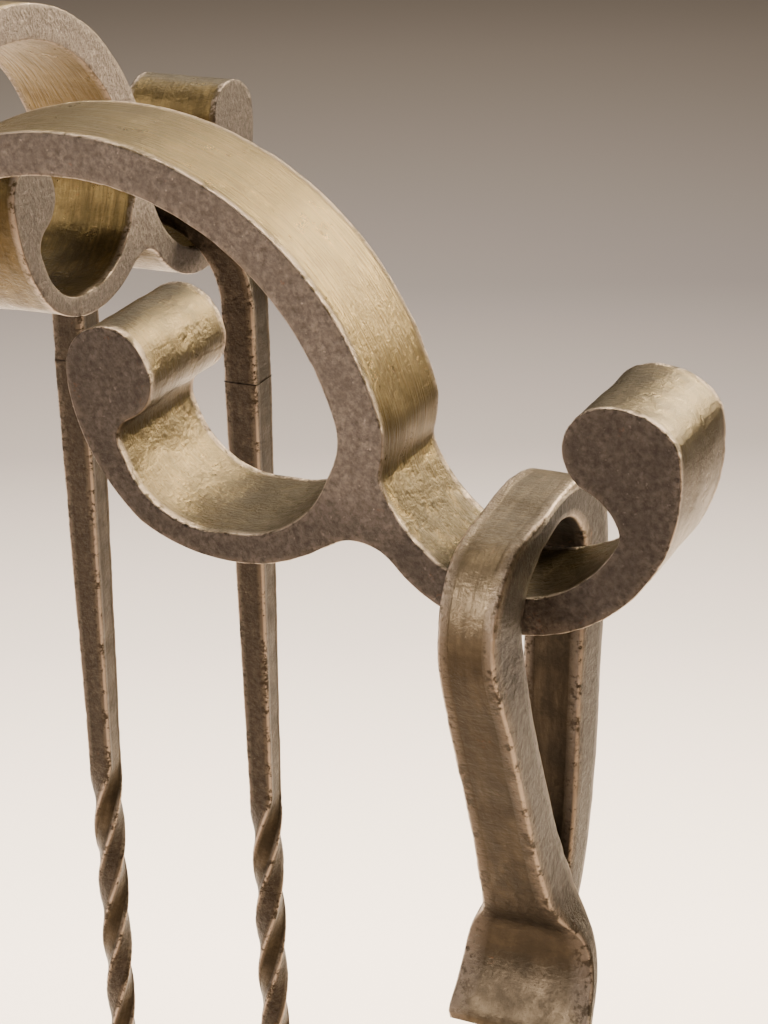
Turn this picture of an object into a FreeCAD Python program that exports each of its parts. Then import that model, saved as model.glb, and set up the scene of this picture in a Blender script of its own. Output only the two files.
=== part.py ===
"""Fireplace tool set: a forged stand with four arms, and a poker, tongs, shovel and brush that hang on them.

The column stands on Z and the floor is z = 0. Each arm is drawn in its own radial plane, along +X, and
turned about Z to its place: poker at 0 degrees, tongs at 90, shovel at 180 and brush at 270. Millimetres.
"""
import FreeCAD, Part
import math
import os

V = FreeCAD.Vector

# ---- bar stock ----
FLAT_WIDTH = 25.4            # 1 in flat bar, seen from above the arm
FLAT_THICK = 9.5             # 3/8 in
CORE_SIDE = 25.4             # 1 in square bar inside the column
TOOL_BAR = 9.5               # 3/8 in square bar
SCROLL_EXTRA = 4.7           # the inner scroll is spread wider than the arch on its far side

# ---- heights ----
ARM_DATUM = 751.5            # height of the arch's widest point, and z = 0 of the arm outline
SEAT_DROP = 26.6             # top of the hook's floor, below the datum
JOINT_HEIGHT = 330.0         # arm tails end here and leg tails begin
CORE_TOP = 688.0
CORE_BOTTOM = 92.0
TOOL_BOTTOM = 66.0           # lowest point of a hanging tool

# ---- places ----
SEAT_RADIUS = 161.7          # column axis to the tool's bar, along the arm
FACE = CORE_SIDE / 2         # the flat bars lie on the core's faces
FACE_OUT = FACE + FLAT_THICK
HALF = FLAT_WIDTH / 2

# ---- handle loop ----
HANDLE_BAR = 11.6            # the handle's bar, measured along the arm
LOOP_INNER = 15.2            # inner radius of the round top
LOOP_DROP = 32.7             # centre of the round top, below the datum
SHAFT_STRAIGHT = 102.0       # below the loop's centre the shaft is back under the hook
SHAFT_TOP = 9.0              # shaft's side there

# ---- twist ----
TWIST_TOP = 178.0            # below the datum
TURN_PITCH = 70.0            # one full turn of the square bar
TWIST_TURNS = 2
TWIST_SIDE = 6.9

# ---- tongs ----
BOW_MID = 24.5
BOW_DROP = 40.2              # centre of the bow's round top, below the datum
BOW_LEG_END = 60.0           # below the datum: where the springy bow gives way to the legs
FLEX_GAP = 0.4
JAW_HALF_GAP = 21.0
JAW_SIZE = 30.0
JAW_THICK = 4.5

# ---- rivets ----
RIVET_RADIUS = 3.2
RIVET_HEAD = 6.2
RIVET_DOME = 3.6

PIECES = {}


def keep(name, shape, turn=0):
    """Turn a finished piece about the column to its arm and store it under its node name."""
    shape = shape.copy()
    shape.rotate(V(0, 0, 0), V(0, 0, 1), turn)
    PIECES[name] = shape


def chain(start, steps):
    """Edges in the XZ plane: a step is (end,) for a line, or (through, end) for an arc."""
    edges = []
    here = V(start[0], 0, start[1])
    for step in steps:
        end = V(step[-1][0], 0, step[-1][1])
        if len(step) == 1:
            edges.append(Part.LineSegment(here, end).toShape())
        else:
            middle = V(step[0][0], 0, step[0][1])
            edges.append(Part.Arc(here, middle, end).toShape())
        here = end
    return edges


def prism(start, steps, y_low, y_high):
    """A closed outline in the XZ plane, made solid from y_low to y_high."""
    face = Part.Face(Part.Wire(chain(start, steps)))
    face.translate(V(0, y_low, 0))
    return face.extrude(V(0, y_high - y_low, 0))


def box(low, high):
    return Part.makeBox(high[0] - low[0], high[1] - low[1], high[2] - low[2], V(*low))


def fuse(*shapes):
    body = shapes[0].fuse(list(shapes[1:])).removeSplitter()
    return body.Solids[0] if len(body.Solids) == 1 else body


# ---- the stand ----

def arm():
    """Flat bar: tail on the core, round arch, then split into an inner scroll and an outer hook."""
    tail_top = -80.0
    tail_bottom = JOINT_HEIGHT - ARM_DATUM
    steps = [
        ((FACE, tail_top),),
        ((15.8, -12.0),),
        ((79.7, 48.5), (140.1, 0.0)),            # outside of the arch
        ((139.8, -4.2), (138.9, -8.0)),
        ((146.4, -19.3), (160.0, -SEAT_DROP)),   # hook: floor where the tool hangs
        ((173.6, -23.4), (182.9, -13.0)),
        ((181.2, -8.6), (176.2, -5.0)),
        ((172.4, 2.0), (181.0, 10.5)),           # hook: round snub end
        ((187.8, 9.4), (193.2, 4.6)),
        ((191.9, -13.4), (182.8, -26.4)),
        ((170.0, -32.9), (155.0, -32.5)),
        ((147.4, -29.2), (141.0, -23.7)),
        ((134.6, -20.6), (128.5, -22.6)),        # crotch between hook and scroll
        ((109.0, -28.3), (91.0, -22.8)),         # scroll: outside
        ((81.2, -10.0), (77.2, 5.0)),
        ((84.5, 13.8), (94.2, 7.4)),             # scroll: round snub end
        ((94.8, 1.4), (90.6, -3.2)),
        ((87.5, -6.2), (88.3, -10.0)),
        ((96.4, -20.2), (108.0, -22.3)),         # scroll: inside
        ((121.9, -18.6), (129.0, -9.0)),
        ((130.8, -4.6), (131.0, 0.0)),
        ((82.0, 40.3), (24.9, -12.6)),           # inside of the arch
        ((FACE_OUT, tail_top),),
        ((FACE_OUT, tail_bottom),),
        ((FACE, tail_bottom),),
    ]
    bar = prism((FACE, tail_bottom), steps, -HALF, HALF)
    scroll_steps = [
        ((109.0, -28.3), (91.0, -22.8)),
        ((81.2, -10.0), (77.2, 5.0)),
        ((84.5, 13.8), (94.2, 7.4)),
        ((94.8, 1.4), (90.6, -3.2)),
        ((87.5, -6.2), (88.3, -10.0)),
        ((96.4, -20.2), (108.0, -22.3)),
        ((116.0, -21.2), (122.5, -17.6)),
        ((128.5, -22.6),),
    ]
    spread = prism((128.5, -22.6), scroll_steps, -HALF, HALF + SCROLL_EXTRA)
    shape = fuse(bar, spread)
    shape.translate(V(0, 0, ARM_DATUM))
    return shape


FOOT_BEND = 84.75            # outside radius of the bend from column to floor
CURL_OUT = 28.75             # outside radius of the upturned toe
CURL_START = 168.0
TOE_RADIUS = 9.5
TOE_ANGLE = 35.0


def leg():
    """Flat bar: tail on the core, a wide bend down to the floor, a flat run and an upturned toe."""
    centre = FACE + FOOT_BEND
    bend_in = FOOT_BEND - FLAT_THICK
    half_root = math.sqrt(0.5)
    curl_in = CURL_OUT - FLAT_THICK
    toe = math.radians(TOE_ANGLE)
    tip_out = (CURL_START + CURL_OUT * math.cos(toe), CURL_OUT + CURL_OUT * math.sin(toe))
    tip_in = (CURL_START + curl_in * math.cos(toe), CURL_OUT + curl_in * math.sin(toe))
    steps = [
        ((FACE, FOOT_BEND),),
        ((centre - FOOT_BEND * half_root, FOOT_BEND - FOOT_BEND * half_root), (centre, 0)),
        ((CURL_START, 0),),
        ((CURL_START + CURL_OUT * half_root, CURL_OUT - CURL_OUT * half_root), tip_out),
        (tip_in,),
        ((CURL_START + curl_in * half_root, CURL_OUT - curl_in * half_root), (CURL_START, FLAT_THICK)),
        ((centre, FLAT_THICK),),
        ((centre - bend_in * half_root, FOOT_BEND - bend_in * half_root), (FACE_OUT, FOOT_BEND)),
        ((FACE_OUT, JOINT_HEIGHT),),
        ((FACE, JOINT_HEIGHT),),
    ]
    bar = prism((FACE, JOINT_HEIGHT), steps, -HALF, HALF)
    reach = CURL_OUT - TOE_RADIUS
    knob_at = V(CURL_START + reach * math.cos(toe), -HALF, CURL_OUT + reach * math.sin(toe))
    knob = Part.makeCylinder(TOE_RADIUS, FLAT_WIDTH, knob_at, V(0, 1, 0))
    return fuse(bar, knob)


def column_core():
    """Square bar with a shallow forged point on top."""
    half = CORE_SIDE / 2
    shaft = box((-half, -half, CORE_BOTTOM), (half, half, CORE_TOP - 8))
    base = Part.makePolygon([V(x, y, CORE_TOP - 8) for x, y in
                             ((-half, -half), (half, -half), (half, half), (-half, half), (-half, -half))])
    tip = Part.makePolygon([V(x, y, CORE_TOP) for x, y in ((-3, -3), (3, -3), (3, 3), (-3, 3), (-3, -3))])
    return fuse(shaft, Part.makeLoft([base, tip], True, True))


def octagon(flat, corner, z_low, z_high):
    """Eight-sided block: flats at +-flat, with its diagonals starting at +-corner."""
    points = [(flat, -corner), (flat, corner), (corner, flat), (-corner, flat),
              (-flat, corner), (-flat, -corner), (-corner, -flat), (corner, -flat), (flat, -corner)]
    face = Part.Face(Part.makePolygon([V(x, y, z_low) for x, y in points]))
    return face.extrude(V(0, 0, z_high - z_low))


def collar(z_middle, height):
    """Forged band round the bundle of bars."""
    low = z_middle - height / 2
    high = z_middle + height / 2
    inner = octagon(FACE_OUT, HALF, low - 1, high + 1)
    outer = octagon(FACE_OUT + 5.5, HALF + 2.3, low, high)
    outer = outer.makeChamfer(1.2, [e for e in outer.Edges if abs(e.BoundBox.ZLength) < 0.01])
    return outer.cut(inner)


ARM_RIVET_ROWS = (608.0, 380.0)          # heights through the arms that lie along X
LEG_RIVET_ROWS = (290.0, 180.0)          # heights through the legs that lie along X
ROW_STEP = 16.0                          # the rivets along Y pass this much lower


def rivet(z, along_y):
    """Round shank through a pair of opposite bars and the core, with a domed head on each side."""
    reach = FACE_OUT
    shape = Part.makeCylinder(RIVET_RADIUS, 2 * reach, V(-reach, 0, z), V(1, 0, 0))
    for side in (-1, 1):
        ball_radius = (RIVET_HEAD ** 2 + RIVET_DOME ** 2) / (2 * RIVET_DOME)
        ball = Part.makeSphere(ball_radius, V(side * (reach + RIVET_DOME - ball_radius), 0, z))
        keep_side = box((reach, -20, z - 20), (reach + 20, 20, z + 20))
        if side < 0:
            keep_side = keep_side.mirror(V(0, 0, 0), V(1, 0, 0))
        shape = shape.fuse(ball.common(keep_side))
    if along_y:
        shape.rotate(V(0, 0, z), V(0, 0, 1), 90)
    return shape.removeSplitter()


def rivet_rows(rows):
    return [rivet(z, False) for z in rows] + [rivet(z - ROW_STEP, True) for z in rows]


# ---- the tools ----

def square_wire(side, x, y, z, angle):
    """A square section across Z, turned about its own centre."""
    points = []
    for corner in range(5):
        turn = math.radians(angle + 45 + 90 * corner)
        points.append(V(x + side / math.sqrt(2) * math.cos(turn), y + side / math.sqrt(2) * math.sin(turn), z))
    return Part.makePolygon(points)


def twisted_bar(x, y, z_high, side_high, z_low, side_low, turns):
    """Square bar with an even twist, as a smooth loft of turned sections."""
    steps = turns * 12
    wires = []
    for step in range(steps + 1):
        part = step / steps
        side = side_high + (side_low - side_high) * part
        wires.append(square_wire(side, x, y, z_high + (z_low - z_high) * part, 360.0 * turns * part))
    return Part.makeLoft(wires, True, False)


def tapered_bar(x_y_high, z_high, side_high, x_y_low, z_low, side_low):
    wires = [square_wire(side_high, *x_y_high, z_high, 0), square_wire(side_low, *x_y_low, z_low, 0)]
    return Part.makeLoft(wires, True, True)


def rectangle(x, y, z, x_size, y_size, tilt):
    """A rectangle tipped about the X axis, for the flared end of the handle."""
    lean = math.radians(tilt)
    points = []
    for side_x, side_y in ((-1, -1), (1, -1), (1, 1), (-1, 1), (-1, -1)):
        across = side_y * y_size / 2
        points.append(V(x + side_x * x_size / 2, y + across * math.cos(lean), z + across * math.sin(lean)))
    return Part.makePolygon(points)


def handle(centre_z):
    """Bar folded into a long eye: round-topped inside, a flat shouldered crown, front leg slanting in to the weld."""
    half = HANDLE_BAR / 2
    outside = prism((-7.0, -58.0), [
        ((-29.4, 1.0),), ((-30.2, 7.0), (-27.0, 13.2)), ((-24.0, 15.2), (-20.0, 16.2)), ((-8.0, 18.8), (5.0, 20.6)),
        ((18.0, 18.4), (26.5, 11.0)), ((27.7, 5.0), (26.3, -5.0)), ((23.0, -35.5),), ((21.2, -47.5), (17.6, -59.5)),
        ((15.4, -66.0),), ((5.4, -66.0),), ((-7.0, -58.0),)], -half, half)
    eye = prism((-LOOP_INNER, 0), [
        ((0, LOOP_INNER), (LOOP_INNER, 0)), ((14.2, -6.0), (12.5, -12.0)), ((10.3, -42.0),), ((8.6, -56.5),),
        ((6.4, -56.8),), ((-10.0, -19.8),), ((-13.6, -10.0), (-LOOP_INNER, 0))], -half - 1, half + 1)
    loop = outside.cut(eye)
    loop.rotate(V(0, 0, 0), V(0, 0, 1), 90)
    loop.translate(V(SEAT_RADIUS, 0, centre_z))
    flare = Part.makeLoft([
        rectangle(SEAT_RADIUS, 0.4, centre_z - 58.0, 14.4, 11.0, 0),
        rectangle(SEAT_RADIUS, 1.4, centre_z - 63.0, 19.0, 7.0, 0),
        rectangle(SEAT_RADIUS, 2.4, centre_z - 68.5, 24.0, 4.4, -6),
        rectangle(SEAT_RADIUS, 1.2, centre_z - 76.5, 26.5, 3.6, -18),
        rectangle(SEAT_RADIUS, -3.2, centre_z - 85.0, 28.0, 3.0, -34),
    ], True, False)
    steps = [(14.0, 57.0, 9.6), (10.0, 68.0, 9.2), (3.4, 86.0, SHAFT_TOP), (0.0, SHAFT_STRAIGHT, SHAFT_TOP)]
    bends = []
    for upper, lower in zip(steps, steps[1:]):
        bends.append(tapered_bar((SEAT_RADIUS, upper[0]), centre_z - upper[1], upper[2],
                                 (SEAT_RADIUS, lower[0]), centre_z - lower[1], lower[2]))
    return [loop, flare] + bends


def tool_shaft(bottom, side_bottom):
    """Handle, shaft bent back under the hook, twisted grip and plain shaft of a poker, shovel or brush."""
    centre_z = ARM_DATUM - LOOP_DROP
    straight = centre_z - SHAFT_STRAIGHT
    twist_top = ARM_DATUM - TWIST_TOP - 20
    twist_bottom = twist_top - TURN_PITCH * TWIST_TURNS
    neck = tapered_bar((SEAT_RADIUS, 0), straight, SHAFT_TOP, (SEAT_RADIUS, 0), twist_top, TWIST_SIDE)
    twist = twisted_bar(SEAT_RADIUS, 0, twist_top, TWIST_SIDE, twist_bottom, TWIST_SIDE, TWIST_TURNS)
    shaft = tapered_bar((SEAT_RADIUS, 0), twist_bottom, TWIST_SIDE, (SEAT_RADIUS, 0), bottom, side_bottom)
    return fuse(*handle(centre_z), neck, twist, shaft)


def poker():
    """Shaft drawn out to a point, and a claw welded on its side."""
    tip_length = 34.0
    side = 7.6
    shaft = tool_shaft(TOOL_BOTTOM + tip_length, side)
    tip = tapered_bar((SEAT_RADIUS, 0), TOOL_BOTTOM + tip_length, side, (SEAT_RADIUS, 0), TOOL_BOTTOM, 1.2)
    keep("poker_shaft", fuse(shaft, tip), 0)
    root = TOOL_BOTTOM + 78.0
    half = side / 2 - 0.02
    claw = prism((0, 0), [((0, 22),), ((13.5, 17.5), (27.0, -8.0)), ((24.0, -15.0),),
                          ((15.0, 3.5), (0, 0))], -half + 0.6, half - 0.6)
    claw.translate(V(0, 0, root))
    claw.rotate(V(0, 0, 0), V(0, 0, 1), 90)
    claw.translate(V(SEAT_RADIUS, side / 2 - 0.01, 0))
    keep("poker_claw", claw.cut(PIECES["poker_shaft"]), 0)


PAN_WIDTH = 122.0
PAN_LENGTH = 150.0
PAN_SHEET = 2.4
PAN_WALL = 22.0
PAN_ROUND = 26.0
TANG_THICK = 4.0
TANG_WIDTH = 20.0


def shovel():
    """Pan of sheet iron with upset walls on three sides, riveted to the flattened end of the shaft."""
    tang_top = TOOL_BOTTOM + PAN_LENGTH + 24.0
    tang_bottom = TOOL_BOTTOM + PAN_LENGTH - 48.0
    side = 8.2
    shaft = tool_shaft(tang_top + 14.0, side)
    spread = Part.makeLoft([
        square_wire(side, SEAT_RADIUS, 0, tang_top + 14.0, 0),
        rectangle(SEAT_RADIUS, 0, tang_top, TANG_THICK, TANG_WIDTH, 0),
    ], True, True)
    half_tang = TANG_THICK / 2
    tang = box((SEAT_RADIUS - half_tang, -TANG_WIDTH / 2, tang_bottom),
               (SEAT_RADIUS + half_tang, TANG_WIDTH / 2, tang_top))
    handle_shape = fuse(shaft, spread, tang)

    back = SEAT_RADIUS + half_tang
    top = TOOL_BOTTOM + PAN_LENGTH
    half = PAN_WIDTH / 2
    slab = box((back, -half, TOOL_BOTTOM), (back + PAN_WALL, half, top))
    corners = [e for e in slab.Edges if e.BoundBox.XLength > PAN_WALL - 1 and e.CenterOfMass.z > top - 1]
    slab = slab.makeFillet(PAN_ROUND, corners)
    hollow = box((back + PAN_SHEET, -half + PAN_SHEET, TOOL_BOTTOM - 5),
                 (back + PAN_WALL + 5, half - PAN_SHEET, top - PAN_SHEET))
    inner = [e for e in hollow.Edges if e.BoundBox.XLength > PAN_WALL - 1 and e.CenterOfMass.z > TOOL_BOTTOM + 20]
    hollow = hollow.makeFillet(PAN_ROUND - PAN_SHEET, inner)
    wedge = Part.Face(Part.makePolygon([
        V(back + PAN_WALL + 1, -half - 1, TOOL_BOTTOM - 1), V(back + 5.5, -half - 1, TOOL_BOTTOM - 1),
        V(back + PAN_WALL + 1, -half - 1, TOOL_BOTTOM + 92), V(back + PAN_WALL + 1, -half - 1, TOOL_BOTTOM - 1),
    ])).extrude(V(0, PAN_WIDTH + 2, 0))
    pan = slab.cut(hollow).cut(wedge)

    rivets = []
    for y, z in ((0, tang_bottom + 9), (-5.2, top - 14), (5.2, top - 14)):
        hole = Part.makeCylinder(2.0, TANG_THICK + PAN_SHEET, V(SEAT_RADIUS - half_tang, y, z), V(1, 0, 0))
        handle_shape = handle_shape.cut(hole)
        pan = pan.cut(hole)
        cap_front = Part.makeCone(3.6, 2.2, 1.8, V(back + PAN_SHEET, y, z), V(1, 0, 0))
        cap_back = Part.makeCone(3.6, 2.2, 1.8, V(SEAT_RADIUS - half_tang, y, z), V(-1, 0, 0))
        rivets.append(fuse(hole, cap_front, cap_back))
    keep("shovel_shaft", handle_shape, 180)
    keep("shovel_pan", pan, 180)
    keep("shovel_rivets", Part.makeCompound(rivets), 180)


BRUSH_HEAD_TOP = 214.0
BRUSH_HEAD_LOW = 172.0


def brush():
    """Shaft driven into a forged ferrule that grips the bristles."""
    side = 8.4
    socket_depth = 22.0
    tang = box((SEAT_RADIUS - side / 2, -side / 2, BRUSH_HEAD_TOP - socket_depth),
               (SEAT_RADIUS + side / 2, side / 2, BRUSH_HEAD_TOP))
    shaft = fuse(tool_shaft(BRUSH_HEAD_TOP, side), tang)
    ferrule = Part.makeLoft([
        rectangle(SEAT_RADIUS, 0, BRUSH_HEAD_TOP, 18.0, 26.0, 0),
        rectangle(SEAT_RADIUS, 0, BRUSH_HEAD_TOP - 20.0, 30.0, 70.0, 0),
        rectangle(SEAT_RADIUS, 0, BRUSH_HEAD_LOW, 32.0, 76.0, 0),
    ], True, True)
    ferrule = ferrule.cut(box((SEAT_RADIUS - 14, -36, BRUSH_HEAD_LOW - 1), (SEAT_RADIUS + 14, 36, BRUSH_HEAD_LOW + 14)))
    ferrule = ferrule.cut(tang)
    bristles = Part.makeLoft([
        rectangle(SEAT_RADIUS, 0, BRUSH_HEAD_LOW + 13.9, 27.8, 71.8, 0),
        rectangle(SEAT_RADIUS, 0, BRUSH_HEAD_LOW, 27.8, 71.8, 0),
        rectangle(SEAT_RADIUS, 0, TOOL_BOTTOM, 36.0, 88.0, 0),
    ], True, True)
    keep("brush_shaft", shaft, 270)
    keep("brush_ferrule", ferrule, 270)
    keep("brush_bristles", bristles, 270)


def tongs():
    """Spring tongs from one bar: a round bow over the hook, and two twisted legs that end in flat jaws."""
    x_low = SEAT_RADIUS - TOOL_BAR / 2
    bow_in = BOW_MID - TOOL_BAR / 2
    bow_out = BOW_MID + TOOL_BAR / 2
    centre_z = ARM_DATUM - BOW_DROP
    end_z = ARM_DATUM - BOW_LEG_END
    outline = [
        Part.LineSegment(V(x_low, -bow_out, end_z), V(x_low, -bow_out, centre_z)).toShape(),
        Part.Arc(V(x_low, -bow_out, centre_z), V(x_low, 0, centre_z + bow_out), V(x_low, bow_out, centre_z)).toShape(),
        Part.LineSegment(V(x_low, bow_out, centre_z), V(x_low, bow_out, end_z)).toShape(),
        Part.LineSegment(V(x_low, bow_out, end_z), V(x_low, bow_in, end_z)).toShape(),
        Part.LineSegment(V(x_low, bow_in, end_z), V(x_low, bow_in, centre_z)).toShape(),
        Part.Arc(V(x_low, bow_in, centre_z), V(x_low, 0, centre_z + bow_in), V(x_low, -bow_in, centre_z)).toShape(),
        Part.LineSegment(V(x_low, -bow_in, centre_z), V(x_low, -bow_in, end_z)).toShape(),
        Part.LineSegment(V(x_low, -bow_in, end_z), V(x_low, -bow_out, end_z)).toShape(),
    ]
    keep("tongs_bow", Part.Face(Part.Wire(outline)).extrude(V(TOOL_BAR, 0, 0)), 90)

    leg_top = end_z - FLEX_GAP
    twist_top = ARM_DATUM - TWIST_TOP
    twist_low = twist_top - TURN_PITCH * TWIST_TURNS
    jaw_top = TOOL_BOTTOM + JAW_SIZE + 6.0
    jaw_y = JAW_HALF_GAP + JAW_THICK / 2
    for name, side in (("tongs_leg_right", -1), ("tongs_leg_left", 1)):
        at = side * BOW_MID
        grip = tapered_bar((SEAT_RADIUS, at), leg_top, TOOL_BAR, (SEAT_RADIUS, at), twist_top, TWIST_SIDE)
        twist = twisted_bar(SEAT_RADIUS, at, twist_top, TWIST_SIDE, twist_low, TWIST_SIDE - 0.9, TWIST_TURNS)
        reach = tapered_bar((SEAT_RADIUS, at), twist_low, TWIST_SIDE - 0.9, (SEAT_RADIUS, at), jaw_top + 30, 8.0)
        spread = Part.makeLoft([
            square_wire(8.0, SEAT_RADIUS, at, jaw_top + 30, 0),
            rectangle(SEAT_RADIUS, side * jaw_y, jaw_top - 8.0, 16.0, JAW_THICK, 0),
        ], True, True)
        pad_at = V(SEAT_RADIUS, side * jaw_y - JAW_THICK / 2, TOOL_BOTTOM + JAW_SIZE / 2)
        pad = Part.makeCylinder(JAW_SIZE / 2, JAW_THICK, pad_at, V(0, 1, 0))
        keep(name, fuse(grip, twist, reach, spread, pad), 90)


def build():
    arm_rivets = rivet_rows(ARM_RIVET_ROWS)
    leg_rivets = rivet_rows(LEG_RIVET_ROWS)
    shanks = arm_rivets + leg_rivets
    keep("column_core", column_core().cut(shanks))
    for number in range(4):
        for name, shape in (("arm", arm()), ("leg", leg())):
            shape.rotate(V(0, 0, 0), V(0, 0, 1), 90 * number)
            drilled = shape.cut(arm_rivets if name == "arm" else leg_rivets)
            keep("%s_%d" % (name, number + 1), drilled)
    keep("arm_rivets", Part.makeCompound(arm_rivets))
    keep("leg_rivets", Part.makeCompound(leg_rivets))
    keep("top_collar", collar(650.0, 24.0))
    keep("middle_collar", collar(JOINT_HEIGHT, 30.0))
    keep("bottom_collar", collar(118.0, 24.0))
    poker()
    shovel()
    brush()
    tongs()


def export():
    os.makedirs("parts", exist_ok=True)
    for name, shape in PIECES.items():
        solids = shape.Solids
        volume = sum(solid.Volume for solid in solids)
        size = shape.BoundBox
        print("%-18s %d solid(s) valid %s %8.0f mm3  z %.1f to %.1f"
              % (name, len(solids), all(s.isValid() for s in solids), volume, size.ZMin, size.ZMax))
        out = solids[0] if len(solids) == 1 else Part.makeCompound(solids)
        out.exportStep("parts/%s.step" % name)


build()
export()
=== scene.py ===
import math
import random

import bpy
import numpy as np
from mathutils import Matrix, Vector, noise
from mathutils.geometry import delaunay_2d_cdt


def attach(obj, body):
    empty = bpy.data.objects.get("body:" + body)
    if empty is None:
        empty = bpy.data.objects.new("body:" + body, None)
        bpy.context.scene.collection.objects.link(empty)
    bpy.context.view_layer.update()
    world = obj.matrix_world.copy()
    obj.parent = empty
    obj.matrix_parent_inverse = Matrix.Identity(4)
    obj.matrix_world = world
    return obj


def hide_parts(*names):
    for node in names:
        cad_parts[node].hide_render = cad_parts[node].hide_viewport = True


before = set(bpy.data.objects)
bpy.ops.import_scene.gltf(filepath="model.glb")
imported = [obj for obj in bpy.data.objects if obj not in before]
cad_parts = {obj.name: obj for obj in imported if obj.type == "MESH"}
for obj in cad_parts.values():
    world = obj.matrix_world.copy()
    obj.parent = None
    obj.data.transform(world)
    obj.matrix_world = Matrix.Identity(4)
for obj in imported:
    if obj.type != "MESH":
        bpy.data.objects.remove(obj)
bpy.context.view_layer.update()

# Lengths below are millimetres, in the CAD frame; MM turns them into metres as a mesh is made.
MM = 0.001

# ---- the stand's driving sizes, as in the CAD ----
ARM_DATUM = 751.5
SEAT_RADIUS = 161.7
FACE = 12.7
FLAT_THICK = 9.5
HALF = 12.7
SCROLL_EXTRA = 4.7
JOINT_HEIGHT = 330.0
CORE_TOP = 688.0
CORE_BOTTOM = 92.0
TOOL_BOTTOM = 66.0
LOOP_CENTRE = ARM_DATUM - 32.7
BOW_CENTRE = ARM_DATUM - 40.2
BOW_MID = 24.5
BOW_LEG_END = ARM_DATUM - 60.0
TWIST_TOP = ARM_DATUM - 178.0
TURN_PITCH = 70.0
TWIST_TURNS = 2
ARM_TURN = {"poker": 0, "tongs": 90, "shovel": 180, "brush": 270}


# ---------------------------------------------------------------- small helpers

def turned(points, degrees):
    """Points turned about the column."""
    angle = math.radians(degrees)
    c, s = math.cos(angle), math.sin(angle)
    out = np.array(points, float)
    x = out[:, 0] * c - out[:, 1] * s
    y = out[:, 0] * s + out[:, 1] * c
    out[:, 0], out[:, 1] = x, y
    return out


def smooth_step(value, low, high):
    t = np.clip((np.asarray(value, float) - low) / (high - low), 0.0, 1.0)
    return t * t * (3 - 2 * t)


def field(points, scale, seed):
    """Smooth noise, about -1 to 1, with features `scale` millimetres across."""
    shift = Vector((seed * 17.3, seed * 5.1, -seed * 9.7))
    return np.array([noise.noise(Vector(p) / scale + shift) for p in points])


def dimples(points, scale, seed):
    """Shallow overlapping hammer marks: 0 on the ridges to 1 in the middle of a mark."""
    shift = Vector((seed * 3.3, seed * 11.1, seed * 7.7))
    out = np.empty(len(points))
    for i, p in enumerate(points):
        distances, _ = noise.voronoi(Vector(p) / scale + shift)
        out[i] = max(0.0, 1.0 - distances[0] * 1.5)
    return out


def make_object(name, points, faces, marks, coords, material):
    """A smooth mesh in metres, with the forging marks and the along-bar coordinates as attributes."""
    mesh = bpy.data.meshes.new(name)
    mesh.from_pydata([tuple(p) for p in np.asarray(points) * MM], [], faces)
    mesh.validate()
    for key, values in marks.items():
        layer = mesh.attributes.new(key, "FLOAT", "POINT")
        layer.data.foreach_set("value", np.asarray(values, dtype=np.float32))
    layer = mesh.attributes.new("bar", "FLOAT_VECTOR", "POINT")
    layer.data.foreach_set("vector", np.asarray(coords, dtype=np.float32).ravel())
    mesh.polygons.foreach_set("use_smooth", [True] * len(mesh.polygons))
    mesh.materials.append(material)
    obj = bpy.data.objects.new(name, mesh)
    bpy.context.scene.collection.objects.link(obj)
    return obj


def add_piece(name, cad_node, body, material, shell, turn=0):
    """Makes a piece from a shell (points, faces, marks, coords) turned about the column, and says which
    body it rides, which CAD node it replaces and which material slot it has."""
    points, faces, marks, coords = shell
    piece = make_object(name, turned(points, turn), faces, marks, coords, material)
    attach(piece, body)
    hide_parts(cad_node)


def even_marks(points, wear, wide, rough=0.0, tone=1.0):
    """Forging marks that are the same at every point."""
    values = {"wear": wear, "wide": wide, "rough": rough, "tone": tone}
    return {key: [value] * len(points) for key, value in values.items()}


def normals_of(points, faces):
    """Area-weighted vertex normals, from the triangles and quads."""
    points = np.asarray(points, float)
    normal = np.zeros_like(points)
    for count in (3, 4):
        group = np.array([f for f in faces if len(f) == count])
        if len(group) == 0:
            continue
        a = points[group[:, 2]] - points[group[:, 0]]
        b = points[group[:, count - 1]] - points[group[:, 1]]
        n = np.cross(a, b)
        for k in range(count):
            np.add.at(normal, group[:, k], n)
    length = np.linalg.norm(normal, axis=1)
    return normal / np.maximum(length, 1e-9)[:, None]


def band(first, second, closed=True):
    """Quads between two rows of points, which are rings when closed."""
    count = len(first)
    return [(first[k], first[(k + 1) % count], second[(k + 1) % count], second[k])
            for k in range(count if closed else count - 1)]


def fan(ring, hub):
    """Triangles from a ring of points to its hub."""
    return [(ring[k], ring[(k + 1) % len(ring)], hub) for k in range(len(ring))]


def flipped(faces):
    return [f[::-1] for f in faces]


def outward(points, faces):
    """The faces of a closed shell, turned over if they face inward."""
    volume = sum(np.dot(points[f[0]], np.cross(points[f[k]], points[f[k + 1]]))
                 for f in faces for k in range(1, len(f) - 1))
    return flipped(faces) if volume < 0 else faces


# ---------------------------------------------------------------- materials

ALONG_MARKS = (70.0, 1300.0, 1300.0)     # noise scale along and across the bar: long fine lines
CROSS_MARKS = (1500.0, 200.0, 200.0)     # short file marks across it
RUST = (0.20, 0.075, 0.030)
BARE_IRON = (0.36, 0.285, 0.225)
# multiplied into the colour where the tone is low: painted shade on the handles, and partly painted shade on
# the arms' scrolls, forks, hooks and snubs
SCALE_AND_SHADE_TINT = (0.24, 0.235, 0.24)
WORN_ROUGH = (0.34, 0.34, 0.34)


def grey(low, high):
    """Ramp stops from one grey to another, each as (place, value)."""
    return [(place, (value,) * 3) for place, value in (low, high)]


def shade(colour, factor):
    return tuple(min(1.0, c * factor) for c in colour)


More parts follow.
